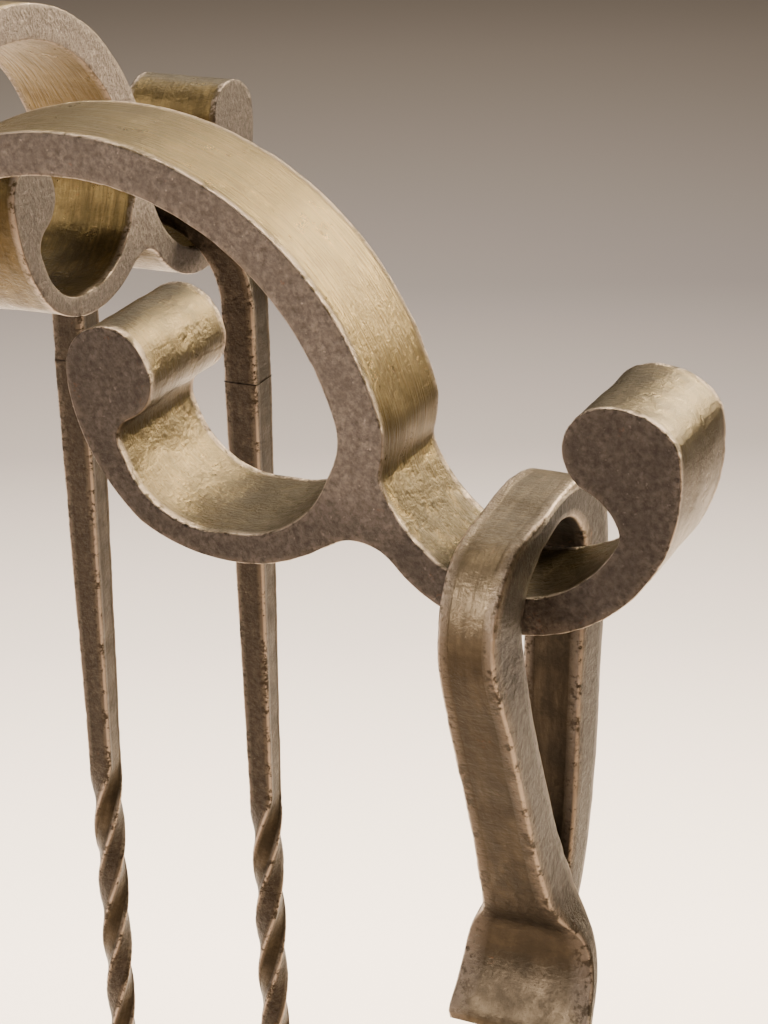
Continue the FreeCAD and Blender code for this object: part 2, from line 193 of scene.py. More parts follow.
class Graph:
    """A material's nodes. Each new node is laid out beside the last, eight to a row."""

    def __init__(self, name, **settings):
        self.material = bpy.data.materials.new(name)
        self.material.use_nodes = True
        self.tree = self.material.node_tree
        self.shader = self.tree.nodes["Principled BSDF"]
        for key, value in settings.items():
            self.shader.inputs[key.replace("_", " ")].default_value = value

    def add(self, kind, **values):
        made = self.tree.nodes.new(kind)
        row, column = divmod(len(self.tree.nodes), 8)
        made.location = (220 * column - 2200, 900 - 300 * row)
        for key, value in values.items():
            made.inputs[key.replace("_", " ")].default_value = value
        return made

    def join(self, value, socket):
        """Links another node's output to a socket, or sets the socket to a plain value."""
        if isinstance(value, (int, float)):
            socket.default_value = value
        elif isinstance(value, tuple):
            socket.default_value = (*value, 1)
        else:
            self.tree.links.new(value, socket)

    def math(self, operation, first, second, clamp=False):
        made = self.add("ShaderNodeMath")
        made.operation = operation
        made.use_clamp = clamp
        self.join(first, made.inputs[0])
        self.join(second, made.inputs[1])
        return made.outputs[0]

    def total(self, *heights):
        """The sum of several outputs."""
        result = heights[0]
        for height in heights[1:]:
            result = self.math("ADD", result, height)
        return result

    def product(self, *factors):
        result = factors[0]
        for factor in factors[1:]:
            result = self.math("MULTIPLY", result, factor)
        return result

    def ramp(self, source, stops):
        made = self.add("ShaderNodeValToRGB")
        while len(made.color_ramp.elements) < len(stops):
            made.color_ramp.elements.new(0.5)
        for element, (place, colour) in zip(made.color_ramp.elements, stops):
            element.position = place
            element.color = (*colour, 1)
        self.join(source, made.inputs[0])
        return made.outputs[0]

    def mix(self, factor, first, second, blend="MIX"):
        made = self.add("ShaderNodeMix")
        made.data_type = "RGBA"
        made.blend_type = blend
        for slot, value in ((0, factor), (6, first), (7, second)):
            self.join(value, made.inputs[slot])
        return made.outputs[2]

    def place(self):
        return self.add("ShaderNodeTexCoord").outputs["Object"]

    def attribute(self, name, output="Fac"):
        made = self.add("ShaderNodeAttribute")
        made.attribute_name = name
        return made.outputs[output]

    def stretched(self, vector, scale):
        made = self.add("ShaderNodeMapping", Scale=scale)
        self.join(vector, made.inputs["Vector"])
        return made.outputs["Vector"]

    def noise(self, vector, scale, detail, rough):
        made = self.add("ShaderNodeTexNoise", Scale=scale, Detail=detail, Roughness=rough)
        self.join(vector, made.inputs["Vector"])
        return made.outputs["Fac"]

    def bump(self, height, strength, distance):
        made = self.add("ShaderNodeBump", Strength=strength, Distance=distance)
        self.join(height, made.inputs["Height"])
        self.join(made.outputs["Normal"], self.shader.inputs["Normal"])


def iron_material(name, wide_colour, side_colour, wide_rough, side_rough, pit, brush, mottle):
    """Forged and waxed iron: brown scale on the edge faces, olive metal on the worked faces with fine
    marks along the bar, bright worn arrises, and specks of rust.

    The first colour and roughness are for the bar's wide faces and the second for its edges; pit, brush
    and mottle weigh the pits, the fine marks along the bar and the patches of scale.
    """
    graph = Graph(name, Metallic=0.92, Specular_IOR_Level=0.5)
    place = graph.place()
    wide, wear, tone, hammered = (graph.attribute(key) for key in ("wide", "wear", "tone", "rough"))
    along = graph.attribute("bar", "Vector")
    lines = graph.noise(graph.stretched(along, ALONG_MARKS), 1.0, 6.0, 0.6)
    file_marks = graph.noise(graph.stretched(along, CROSS_MARKS), 1.0, 3.0, 0.6)
    cloud = graph.noise(place, 38.0, 5.0, 0.6)
    patch = graph.noise(place, 160.0, 6.0, 0.7)
    grit = graph.noise(place, 780.0, 7.0, 0.72)
    speck = graph.noise(place, 1000.0, 2.0, 0.5)
    rust_patch = graph.noise(place, 210.0, 5.0, 0.75)

    # the edge faces: grit, with darker patches and pale specks
    side_tone = graph.ramp(grit, [(0.36, shade(side_colour, 0.60)), (0.50, side_colour),
                                  (0.64, shade(side_colour, 1.50))])
    side_tone = graph.mix(graph.ramp(patch, grey((0.38, 0.0), (0.64, 0.55))),
                          side_tone, shade(side_colour, 0.62))
    side_tone = graph.mix(graph.ramp(speck, grey((0.70, 0.0), (0.76, 0.8))),
                          side_tone, shade(side_colour, 2.3))

    # the wide faces: lines along the bar, with patches of scale where it is mottled or hammered
    wide_tone = graph.ramp(lines, [(0.34, shade(wide_colour, 0.62)), (0.50, wide_colour),
                                   (0.66, shade(wide_colour, 1.35))])
    scale_amount = graph.math("ADD", graph.math("MULTIPLY", hammered, 2.5), mottle)
    scaled = graph.math("MULTIPLY", graph.ramp(patch, grey((0.42, 0.0), (0.60, 1.0))), scale_amount, True)
    wide_tone = graph.mix(scaled, wide_tone, shade(wide_colour, 0.45))
    wide_tone = graph.mix(graph.ramp(cloud, grey((0.36, 0.0), (0.66, 0.55))),
                          wide_tone, shade(wide_colour, 0.72))

    # both, darkened where the tone is low (painted shade on the handles' legs and loops, part scale and part
    # painted shade on the arms), then rusted, then worn bare along chips of the arrises
    base = graph.mix(wide, side_tone, wide_tone)
    base = graph.mix(tone, graph.mix(1.0, base, SCALE_AND_SHADE_TINT, "MULTIPLY"), base)
    base = graph.mix(graph.ramp(rust_patch, grey((0.66, 0.0), (0.76, 0.55))), base, RUST)
    chip = graph.ramp(graph.math("ADD", patch, grit), grey((0.90, 0.0), (1.06, 1.0)))
    worn = graph.math("MULTIPLY", wear, chip, True)
    graph.join(graph.mix(worn, base, BARE_IRON), graph.shader.inputs["Base Color"])

    rough_wide = graph.ramp(patch, grey((0.3, wide_rough - 0.05), (0.7, wide_rough + 0.13)))
    rough_side = graph.ramp(grit, grey((0.3, side_rough + 0.10), (0.75, side_rough - 0.08)))
    roughness = graph.mix(worn, graph.mix(wide, rough_side, rough_wide), WORN_ROUGH)
    graph.join(roughness, graph.shader.inputs["Roughness"])

    # the relief: fine lines on dressed wide faces; pits, file marks and scale mostly on the edges
    dressed = graph.ramp(tone, grey((0.60, 0.15), (0.98, 1.0)))
    on_side = graph.math("SUBTRACT", 1.35, wide)
    height = graph.total(
        graph.product(lines, wide, dressed, brush),
        graph.product(grit, on_side, pit),
        graph.product(file_marks, on_side, 0.35 * pit),
        graph.product(patch, hammered, 3.0),
        graph.product(patch, on_side, 0.5 + mottle))
    graph.bump(height, strength=0.8, distance=0.0009)
    return graph.material


def bristle_material():
    """Stiff brown plant fibre, paler towards the tips."""
    graph = Graph("bristle_fibre", Roughness=0.62, Sheen_Weight=0.25)
    strand = graph.attribute("wear")
    tip = graph.attribute("wide")
    tone = graph.ramp(strand, [(0.0, (0.055, 0.032, 0.016)), (0.5, (0.12, 0.072, 0.035)),
                               (1.0, (0.23, 0.145, 0.075))])
    faded = graph.mix(graph.math("MULTIPLY", tip, 0.45), tone, (0.33, 0.25, 0.15))
    graph.join(faded, graph.shader.inputs["Base Color"])
    graph.bump(graph.noise(graph.place(), 1500.0, 2.0, 0.5), strength=0.3, distance=0.0002)
    return graph.material


STAND_IRON = iron_material(
    "stand_iron", (0.172, 0.122, 0.048), (0.150, 0.124, 0.108), 0.29, 0.44, pit=0.9, brush=0.8, mottle=0.45)
TOOL_IRON = iron_material(
    "tool_iron", (0.150, 0.114, 0.072), (0.155, 0.122, 0.092), 0.34, 0.42, pit=0.6, brush=0.3, mottle=0.85)
RIVET_IRON = iron_material(
    "rivet_iron", (0.080, 0.062, 0.045), (0.080, 0.062, 0.045), 0.42, 0.46, pit=0.5, brush=0.1, mottle=0.6)
BRISTLE = bristle_material()


# ---------------------------------------------------------------- forged surfaces

def forge(shell, seed, face_depth, arris_depth, mark_size):
    """The shell with its surface pushed in by hammer marks, small waviness and nicks along the arrises."""
    points, faces, marks, coords = shell
    points = np.asarray(points, float)
    wide = np.asarray(marks["wide"])
    wear = np.asarray(marks["wear"])
    rough = np.asarray(marks["rough"])
    hammer = dimples(points, mark_size, seed)
    wave = field(points, 21.0, seed + 1) * 0.5 + 0.5
    nick = field(points, 2.6, seed + 2)
    soft = field(points, 9.0, seed + 4) * 0.5 + 0.5
    coarse = field(points, 2.1, seed + 3) * 0.5 + 0.5
    depth = face_depth * (0.55 * hammer + 0.45 * wave) * (0.35 + 0.65 * wide)
    depth += arris_depth * wear * (0.35 * soft + 0.65 * np.clip(nick * 2.2 - 0.35, 0.0, 1.0))
    depth += rough * (0.55 * coarse + 0.5 * np.clip(nick, 0, 1))
    return points - normals_of(points, faces) * depth[:, None], faces, marks, coords


def rounded_section(width, thick, corner):
    """Points round a bar's section, with 1 at the arrises and 1 on the two wide faces."""
    half_w, half_t = width / 2, thick / 2
    corner = min(corner, half_w * 0.95, half_t * 0.95)
    ring, arris, wide = [], [], []
    for index, (sx, sy) in enumerate(((1, 1), (-1, 1), (-1, -1), (1, -1))):
        centre = (sx * (half_w - corner), sy * (half_t - corner))
        start = index * 90
        for k in range(4):
            angle = math.radians(start + 30 * k)
            ring.append((centre[0] + corner * math.cos(angle), centre[1] + corner * math.sin(angle)))
            arris.append(1.0 if k in (1, 2) else 0.25)
            wide.append(0.5)
        across = index % 2 == 0
        span = 2 * (half_w - corner) if across else 2 * (half_t - corner)
        count = 6 if across else 5
        for k in range(1, count):
            step = span * k / count
            if index == 0:
                point = (centre[0] - step, half_t)
            elif index == 1:
                point = (-half_w, centre[1] - step)
            elif index == 2:
                point = (centre[0] + step, -half_t)
            else:
                point = (half_w, centre[1] + step)
            ring.append(point)
            arris.append(0.0)
            wide.append(1.0 if across else 0.0)
    return ring, arris, wide


def resample(path, step):
    """Points every `step` along a polyline, with the distance to each."""
    path = np.array(path, float)
    run = np.r_[0, np.cumsum(np.linalg.norm(np.diff(path, axis=0), axis=1))]
    count = max(2, int(round(run[-1] / step)) + 1)
    at = np.linspace(0, run[-1], count)
    return np.stack([np.interp(at, run, path[:, k]) for k in range(3)], axis=1), at


def ease(path, rounds):
    """Rounds the corners of a dense polyline, ends held."""
    out = path.copy()
    for _ in range(rounds):
        out[1:-1] = out[1:-1] * 0.5 + (out[:-2] + out[2:]) * 0.25
    return out


def sweep(path, section_at, across=(1.0, 0.0, 0.0), step=1.5, rounds=6, flat_ends=()):
    """Bar of changing section along a path. section_at(distance) gives width, thickness, corner, turn.
    flat_ends lists the ends (0 for the start, 1 for the far end) that butt on another bar."""
    centres, run = resample(path, step)
    centres = ease(centres, rounds)
    across = np.array(across, float)
    tangent = np.gradient(centres, axis=0)
    tangent /= np.linalg.norm(tangent, axis=1)[:, None]
    points, wear, wide, coords = [], [], [], []

    def add(point, wear_value, wide_value, coord):
        points.append(point)
        wear.append(wear_value)
        wide.append(wide_value)
        coords.append(coord)
        return len(points) - 1

    rings = []
    for centre, along, at in zip(centres, tangent, run):
        width, thick, corner, turn = section_at(at)
        up = np.cross(along, across)
        up /= np.linalg.norm(up)
        c, s = math.cos(math.radians(turn)), math.sin(math.radians(turn))
        rings.append([add(centre + across * (a * c - b * s) + up * (a * s + b * c), arris, face,
                          (at * MM, k * 0.0007, 0.0))
                      for k, ((a, b), arris, face) in enumerate(zip(*rounded_section(width, thick, corner)))])
    faces = []
    for first, second in zip(rings, rings[1:]):
        faces += band(first, second)
    for end, sign in ((0, -1), (-1, 1)):
        rim = rings[end]
        if abs(end) in flat_ends:
            flat = [add(points[v].copy(), 0.0, wide[v], coords[v]) for v in rim]
            faces.append(tuple(flat if sign > 0 else flat[::-1]))
            continue
        middle = np.mean([points[v] for v in rim], axis=0)
        cap = [rim]
        for shrink, arris in ((0.82, 0.3), (0.5, 0.0)):
            bulge = tangent[end] * (0.35 * sign) * (1 - shrink)
            cap.append([add(middle + (points[v] - middle) * shrink + bulge, arris, 0.2, coords[v])
                        for v in rim])
        hub = add(middle + tangent[end] * (0.25 * sign), 0.0, 0.2, coords[rim[0]])
        closing = band(cap[0], cap[1]) + band(cap[1], cap[2]) + fan(cap[2], hub)
        faces += closing if sign > 0 else flipped(closing)
    points = np.array(points)
    marks = {"wear": wear, "wide": wide, "rough": [0.0] * len(points), "tone": [1.0] * len(points)}
    return points, outward(points, faces), marks, coords


def arc(start, middle, end, step):
    """Points along the circle through three points, without the first."""
    a, b, c = (np.array(p, float) for p in (start, middle, end))
    d = 2 * (a[0] * (b[1] - c[1]) + b[0] * (c[1] - a[1]) + c[0] * (a[1] - b[1]))
    ux = (a @ a * (b[1] - c[1]) + b @ b * (c[1] - a[1]) + c @ c * (a[1] - b[1])) / d
    uy = (a @ a * (c[0] - b[0]) + b @ b * (a[0] - c[0]) + c @ c * (b[0] - a[0])) / d
    centre = np.array([ux, uy])
    angles = [math.atan2(*(p - centre)[::-1]) for p in (a, b, c)]
    turn = 2 * math.pi
    through = (angles[1] - angles[0]) % turn
    whole = (angles[2] - angles[0]) % turn
    if through > whole:
        whole -= turn
    radius = np.linalg.norm(a - centre)
    count = max(2, int(round(abs(whole) * radius / step)))
    turns = [angles[0] + whole * k / count for k in range(1, count + 1)]
    return [centre + radius * np.array([math.cos(a), math.sin(a)]) for a in turns]


def half_turn(x, centre_z, radius, count):
    """Round top of a bow, from -Y over the top to +Y."""
    turns = [math.pi * k / count for k in range(count + 1)]
    return [(x, -radius * math.cos(a), centre_z + radius * math.sin(a)) for a in turns]


def between(start, end, count):
    """Evenly spaced points from start to end, without the end."""
    start, end = np.array(start, float), np.array(end, float)
    return [start + (end - start) * k / count for k in range(count)]


# ---------------------------------------------------------------- the arms

ARM_STEPS = [
    ((12.7, -80.0),),
    ((15.8, -12.0),),
    ((79.7, 48.5), (140.1, 0.0)),
    ((139.8, -4.2), (138.9, -8.0)),
    ((146.4, -19.3), (160.0, -26.6)),
    ((173.6, -23.4), (182.9, -13.0)),
    ((181.2, -8.6), (176.2, -5.0)),
    ((172.4, 2.0), (181.0, 10.5)),
    ((187.8, 9.4), (193.2, 4.6)),
    ((191.9, -13.4), (182.8, -26.4)),
    ((170.0, -32.9), (155.0, -32.5)),
    ((147.4, -29.2), (141.0, -23.7)),
    ((134.6, -20.6), (128.5, -22.6)),
    ((109.0, -28.3), (91.0, -22.8)),
    ((81.2, -10.0), (77.2, 5.0)),
    ((84.5, 13.8), (94.2, 7.4)),
    ((94.8, 1.4), (90.6, -3.2)),
    ((87.5, -6.2), (88.3, -10.0)),
    ((96.4, -20.2), (108.0, -22.3)),
    ((121.9, -18.6), (129.0, -9.0)),
    ((130.8, -4.6), (131.0, 0.0)),
    ((82.0, 40.3), (24.9, -12.6)),
    ((22.2, -80.0),),
    ((22.2, JOINT_HEIGHT - ARM_DATUM),),
    ((12.7, JOINT_HEIGHT - ARM_DATUM),),
]
ARRIS = 0.4
FINE = 1.0                       # spacing of the outline's points
GRID = 1.35                      # spacing of the points on a flat side
COARSE = 3.0                     # spacing of the outline's points below the top collar
COARSE_GRID = 3.6
ROW_HEIGHT = 0.866               # of the triangle grid's rows, as a share of its spacing
EDGE_GAP = 0.02                  # how far the flat sides stay inside the CAD's
BATCH = 2000                     # points compared with the rim at a time
WIDE_ROWS = 17                   # rows across the bar's wide faces


def arm_outline():
    """The arm's outline in its radial plane, sampled finely above the top collar and coarsely below."""
    here = (12.7, JOINT_HEIGHT - ARM_DATUM)
    points = []
    for step in ARM_STEPS:
        if len(step) == 1:
            end = step[0]
            length = math.dist(here, end)
            spacing = FINE if max(here[1], end[1]) > -79 else COARSE
            count = max(1, int(round(length / spacing)))
            points += between(here, end, count)[1:] + [np.array(end)]
        else:
            points += arc(here, step[0], step[1], FINE)
            end = step[1]
        here = end
    out = np.array(points)
    smoothed = out.copy()
    for _ in range(2):
        smoothed = smoothed * 0.5 + (np.roll(smoothed, 1, 0) + np.roll(smoothed, -1, 0)) * 0.25
    keep = smooth_step(out[:, 1], -80, -70)[:, None]
    return out * (1 - keep) + smoothed * keep


def back_depth(r, z):
    """How far the arm reaches on its far side: the inner scroll is spread wider than the rest."""
    under_arch = np.where(np.asarray(r) > 100, smooth_step(-np.asarray(z), 2.0, 10.0), 1.0)
    inside = smooth_step(-r, -131.0, -123.0) * (np.asarray(r) > 60) * (np.asarray(z) < 16) * under_arch
    return HALF + SCROLL_EXTRA * inside - EDGE_GAP


def distance_to(points, rim):
    """Distance from each point to the nearest point of the rim."""
    out = np.empty(len(points))
    for start in range(0, len(points), BATCH):
        gaps = np.linalg.norm(points[start:start + BATCH, None] - rim[None], axis=2)
        out[start:start + BATCH] = gaps.min(axis=1)
    return out


def flat_side(rim):
    """A flat side filled with triangles: its points, the triangles, and each rim point's place in them."""
    grid = []
    low, high = rim.min(axis=0), rim.max(axis=0)
    row, z = 0, low[1] + 2
    while z < high[1]:
        spacing = GRID if z > -82 else COARSE_GRID
        xs = np.arange(low[0] + 0.5 + (row % 2) * spacing / 2, high[0], spacing)
        if z < -30:
            xs = xs[xs < 30]
        grid += [(x, z) for x in xs]
        z += spacing * ROW_HEIGHT
        row += 1
    grid = np.array(grid)
    grid = grid[distance_to(grid, rim) > 0.55]
    count = len(rim)
    corners = [Vector(p) for p in rim] + [Vector(p) for p in grid]
    flat = delaunay_2d_cdt(corners, [], [list(range(count))], 1, 1e-6)
    place = {old: new for new, olds in enumerate(flat[3]) for old in olds if old < count}
    points = np.array([tuple(p) for p in flat[0]])
    return points, [tuple(f) for f in flat[2]], [place[k] for k in range(count)]


def arm_shell(seed):
    """One arm before it is raised: two flat sides and the wide faces that run round its outline."""
    outline = arm_outline()
    count = len(outline)
    before, after = np.roll(outline, 1, 0), np.roll(outline, -1, 0)
    tangent = after - before
    tangent /= np.linalg.norm(tangent, axis=1)[:, None]
    clockwise = np.sum(outline[:, 0] * after[:, 1] - after[:, 0] * outline[:, 1]) <= 0
    inward = np.stack([-tangent[:, 1], tangent[:, 0]], axis=1) * (-1 if clockwise else 1)
    run = np.r_[0, np.cumsum(np.linalg.norm(np.diff(outline, axis=0), axis=1))]
    rim = outline + inward * ARRIS
    flat_points, triangles, rim_places = flat_side(rim)
    points, wear, wide, coords, faces = [], [], [], [], []

    def add(r, depth, z, wear_value, wide_value, along, over):
        points.append((r, depth, z))
        wear.append(wear_value)
        wide.append(wide_value)
        coords.append((along * MM, over * MM, 0.0))
        return len(points) - 1

    def add_ring(inset, depths, wear_value, wide_value, over):
        drawn = outline + inward * inset
        return [add(r, depth, z, wear_value, wide_value, at, beside)
                for (r, z), depth, at, beside in zip(drawn, depths, run, np.broadcast_to(over, count))]

    side_wear = 0.15 * np.maximum(0.0, 1 - distance_to(flat_points, rim) / 0.9)
    side_rings = []
    for front in (True, False):
        base = len(points)
        for (r, z), value in zip(flat_points, side_wear):
            depth = -HALF + EDGE_GAP if front else float(back_depth(r, z))
            add(r, depth, z, value, 0.0, 0.8 * r + 0.6 * z, 0.8 * z - 0.6 * r)
        for tri in triangles:
            a, b, c = (flat_points[k] for k in tri)
            up = (b[0] - a[0]) * (c[1] - a[1]) - (b[1] - a[1]) * (c[0] - a[0])
            tri = tuple(base + k for k in tri)
            # seen from -Y, +X is right and +Z is up, so a counter-clockwise triangle faces -Y
            faces.append(tri if (up > 0) == front else tri[::-1])
        side_rings.append([base + k for k in rim_places])

    # the front arris, the wide faces and the back arris, as rings from the front side to the back one
    turns = [math.radians(a) for a in (24, 48, 70, 90)]
    low = np.full(count, -HALF + EDGE_GAP)
    high = back_depth(outline[:, 0], outline[:, 1])
    rings = [side_rings[0]]
    for a in turns:
        rings.append(add_ring(ARRIS * (1 - math.sin(a)), low + ARRIS * (1 - math.cos(a)), 1.0, 0.5, 0.0))
    for row in range(1, WIDE_ROWS):
        depths = low + ARRIS + (high - low - 2 * ARRIS) * row / WIDE_ROWS
        rings.append(add_ring(0.0, depths, 0.0, 1.0, depths))
    for a in turns[::-1]:
        rings.append(add_ring(ARRIS * (1 - math.sin(a)), high - ARRIS * (1 - math.cos(a)), 1.0, 0.5, 26.0))
    rings.append(side_rings[1])
    for first, second in zip(rings, rings[1:]):
        quads = band(first, second)
        faces += quads if clockwise else flipped(quads)

    points, wide = np.array(points), np.array(wide)
    # the arch was dressed bright and keeps its full tone; scroll, fork, hook and snubs are painted darker,
    # partly for the dark scale they keep and partly as painted shade
    from_arch = np.abs(np.hypot(points[:, 0] - 78.0, points[:, 2] + 13.0) - 57.5)
    arch = (1 - smooth_step(from_arch, 4.5, 12.0)) * smooth_step(points[:, 2], -24.0, -6.0)
    arch = np.maximum(arch, smooth_step(-points[:, 2], 24.0, 50.0))
    tone = 1.0 - 0.70 * (1 - wide) * (1 - arch) - 0.62 * wide * (1 - arch)
    # the rough, hammered stretch on top between the fork and the hook
    spot = np.hypot(points[:, 0] - 148.0, points[:, 2] + 17.0)
    rough = 0.75 * (1 - smooth_step(spot, 7.0, 15.0)) * wide * (points[:, 2] > -25)
    rough = np.maximum(rough, 0.16 * wide * (1 - arch))
    marks = {"wear": wear, "wide": wide, "rough": rough, "tone": tone}
    return forge((points, faces, marks, coords), seed, 0.30 * (1.0 + 1.1 * (1 - arch)), 0.22, 10.0)


def build_arms():
    for number in range(4):
        points, *rest = arm_shell(seed=3 + 5 * number)
        points[:, 2] += ARM_DATUM
        name = "arm_%d" % (number + 1)
        add_piece("forged_" + name, name, "stand", STAND_IRON, (points, *rest), 90 * number)


# ---------------------------------------------------------------- column, legs, collars and rivets

def build_core():
    path = [(0, 0, CORE_BOTTOM), (0, 0, CORE_TOP - 0.6)]
    length = CORE_TOP - CORE_BOTTOM

    def section(run):
        end = smooth_step(run, length - 9, length)
        side = 25.3 - 17.0 * end
        return side, side, 1.4 + 2.0 * end, 0.0

    shell = forge(sweep(path, section, step=2.4, rounds=0), 31, 0.25, 0.4, 13.0)
    add_piece("forged_core", "column_core", "stand", STAND_IRON, shell)


def build_legs():
    """Bars that run down the column, bend out along the floor and end in an upturned, snubbed toe."""
    middle = FACE + FLAT_THICK / 2
    half = FLAT_THICK / 2
    bend = 80.0
    bend_height = bend + half
    bend_centre = FACE + bend_height
    curl = 24.0
    curl_at = 168.0
    path = [(middle, 0, JOINT_HEIGHT), (middle, 0, bend_height)]
    path += [(bend_centre - bend * math.cos(a), 0, bend_height - bend * math.sin(a))
             for a in np.linspace(0, math.pi / 2, 40)]
    path += [(curl_at, 0, half)]
    for a in np.linspace(0, math.radians(123), 34):
        radius = curl - 4.6 * smooth_step(a, 1.30, 1.85)
        path.append((curl_at + radius * math.sin(a), 0, half + curl - radius * math.cos(a)))
    length = resample(path, 2.0)[1][-1]

    def section(at):
        snub = smooth_step(at, length - 17.0, length - 7.0)
        close = smooth_step(at, length - 4.0, length)
        return 25.3 - 1.2 * close, FLAT_THICK + 8.0 * snub - 6.0 * close, 0.8 + 3.2 * close, 0.0

    for number in range(4):
        bar = sweep(path, section, across=(0, 1, 0), step=1.9, rounds=2)
        points, *rest = forge(bar, 41 + 3 * number, 0.34, 0.42, 12.0)
        points[:, 2] = np.maximum(points[:, 2], 0.0)
        name = "leg_%d" % (number + 1)
        add_piece("forged_" + name, name, "stand", STAND_IRON, (points, *rest), 90 * number)


def build_collar(name, z_middle, height, seed):
    """Band wrapped round the bundle: an eight-sided ring of half-round bar with softened corners."""
    flat, corner = FACE + FLAT_THICK, FACE
    corners = [(flat, -corner, 0), (flat, corner, 0), (corner, flat, 0), (-corner, flat, 0),
               (-flat, corner, 0), (-flat, -corner, 0), (-corner, -flat, 0), (corner, -flat, 0)]
    path = []
    for start, end in zip(corners, corners[1:] + corners[:1]):
        path += between(start, end, int(math.dist(start, end) / 1.6))
    path = np.array(path)
    for _ in range(5):
        path = path * 0.5 + (np.roll(path, 1, 0) + np.roll(path, -1, 0)) * 0.25
    count = len(path)
    half = height / 2 - 0.05
    # the band's section, as (out from the bundle, up)
    profile = [(-0.1, -half), (2.6, -half)]
    profile += [(3.2 + 2.1 * math.cos(a), half * math.sin(a)) for a in np.linspace(-1.35, 1.35, 19)]
    profile += [(2.6, half), (-0.1, half)]
    size = len(profile)
    points, coords, wear, wide = [], [], [], []
    run = 0.0
    for i, p in enumerate(path):
        ahead = path[(i + 1) % count]
        along = ahead - path[i - 1]
        side = np.array([along[1], -along[0], 0.0])
        side /= np.linalg.norm(side)
        if side @ p < 0:
            side = -side
        for k, (out, up) in enumerate(profile):
            points.append(p + side * out + np.array([0, 0, up]))
            coords.append((run * MM, k * 0.001, 0.0))
            from_edge = min(k, size - 1 - k)
            wear.append(0.9 if from_edge in (1, 2) else 0.0)
            wide.append(1.0 if from_edge > 2 else 0.3)
        run += np.linalg.norm(ahead - p)
    faces = []
    for i in range(count):
        n = (i + 1) % count
        for k in range(size):
            m = (k + 1) % size
            faces.append((i * size + k, n * size + k, n * size + m, i * size + m))
    points = np.array(points)
    marks = {"wear": wear, "wide": wide, "rough": [0.0] * len(points), "tone": [0.8] * len(points)}
    points, *rest = forge((points, outward(points, faces), marks, coords), seed, 0.55, 0.4, 8.0)
    points[:, 2] += z_middle
    add_piece("forged_" + name, name, "stand", STAND_IRON, (points, *rest))


def dome(centre, direction, radius, height):
    """Hammered rivet head: a low dome that sits on a face."""
    direction = np.array(direction, float)
    side = np.cross(direction, [0, 0, 1.0])
    up = np.cross(side, direction)
    rings, around = 9, 28
    points = []
    for i in range(rings + 1):
        angle = math.pi / 2 * i / rings
        spread = radius * math.cos(angle)
        lift = height * math.sin(angle) ** 0.9
        for k in range(around):
            turn = 2 * math.pi * k / around
            points.append(np.array(centre) + direction * lift
                          + side * spread * math.cos(turn) + up * spread * math.sin(turn))
    hub = len(points)
    base = hub + 1
    points += [np.array(centre) + direction * height, np.array(centre) - direction * 0.2]
    rows = [list(range(i * around, (i + 1) * around)) for i in range(rings + 1)]
    faces = []
    for first, second in zip(rows, rows[1:]):
        faces += band(first, second)
    for k in range(around):
        n = (k + 1) % around
        faces.append((rows[-1][k], rows[-1][n], hub))
        faces.append((n, k, base))
    return points, faces


def build_rivets(name, body, heads):
    points, faces = [], []
    for head in heads:
        more, more_faces = dome(*head)
        faces += [tuple(len(points) + k for k in f) for f in more_faces]
        points += more
    shell = forge((points, faces, even_marks(points, 0.15, 0.6), np.array(points) * MM), 71, 0.45, 0.2, 3.2)
    add_piece("heads_" + name, name, body, RIVET_IRON, shell)


def stand_rivet_heads(rows):
    """Heads on all four sides, as (centre, direction, radius, height). One pair sits lower, so that its
    rivets miss the other pair's."""
    reach = FACE + FLAT_THICK
    heads = []
    for z in rows:
        for side in (1, -1):
            heads.append(((side * reach, 0, z), (side, 0, 0), 6.1, 3.5))
            heads.append(((0, side * reach, z - 16.0), (0, side, 0), 6.1, 3.5))
    return heads


# ---------------------------------------------------------------- tools

def twist_angle(z, top, low):
    """Degrees of twist at a height: none above the grip, even through it, then held."""
    part = min(1.0, max(0.0, (top - z) / (top - low)))
    return 360.0 * TWIST_TURNS * part


# The handle's bar, from the flared end up the front leg, over the hook, down the back leg and under
# the hook again: (y, z) from the loop's centre, then width and thickness.
HANDLE_STATIONS = [
    (-5.6, -86.2, 28.4, 2.6),
    (-4.6, -84.4, 28.2, 3.0),
    (-1.6, -80.6, 27.2, 3.4),
    (1.3, -75.6, 26.2, 3.8),
    (2.6, -70.2, 24.4, 4.6),
    (2.6, -65.2, 20.6, 6.4),
    (1.2, -61.0, 16.6, 9.0),
    (-0.6, -57.0, 14.6, 10.6),
    (-3.6, -50.5, 13.4, 10.6),
    (-7.4, -41.5, 12.6, 10.3),
    (-10.8, -33.0, 12.3, 10.2),
    (-15.1, -22.5, 12.2, 10.3),
    (-18.6, -13.0, 12.0, 10.8),
    (-21.2, -5.0, 11.4, 12.4),
    (-22.4, 1.0, 10.8, 14.0),
    (-21.6, 6.6, 10.7, 14.4),
    (-18.2, 11.8, 11.0, 12.6),
    (-12.6, 14.8, 11.5, 8.6),
    (-6.0, 16.6, 11.9, 5.6),
    (1.0, 17.9, 12.0, 5.0),
    (8.0, 17.3, 12.0, 6.6),
    (14.6, 14.6, 11.9, 9.4),
    (19.6, 10.2, 11.8, 11.6),
    (21.5, 3.6, 11.8, 12.4),
    (20.6, -4.0, 11.8, 12.4),
    (18.8, -14.0, 11.8, 12.2),
    (17.6, -27.0, 11.7, 12.0),
    (16.7, -38.0, 11.5, 11.6),
    (15.2, -50.0, 11.0, 10.6),
    (13.2, -60.0, 10.2, 9.6),
    (9.6, -69.0, 9.4, 9.2),
    (5.6, -79.0, 9.1, 9.0),
    (2.2, -89.0, 9.0, 9.0),
    (0.4, -97.0, 9.0, 9.0),
]
SHAFT_STRAIGHT = 102.0
SHAFT_TOP = 9.0
TWIST_SIDE = 6.9
TWIST_DROP = 20.0                # the handled tools' twist starts this much below the tongs'


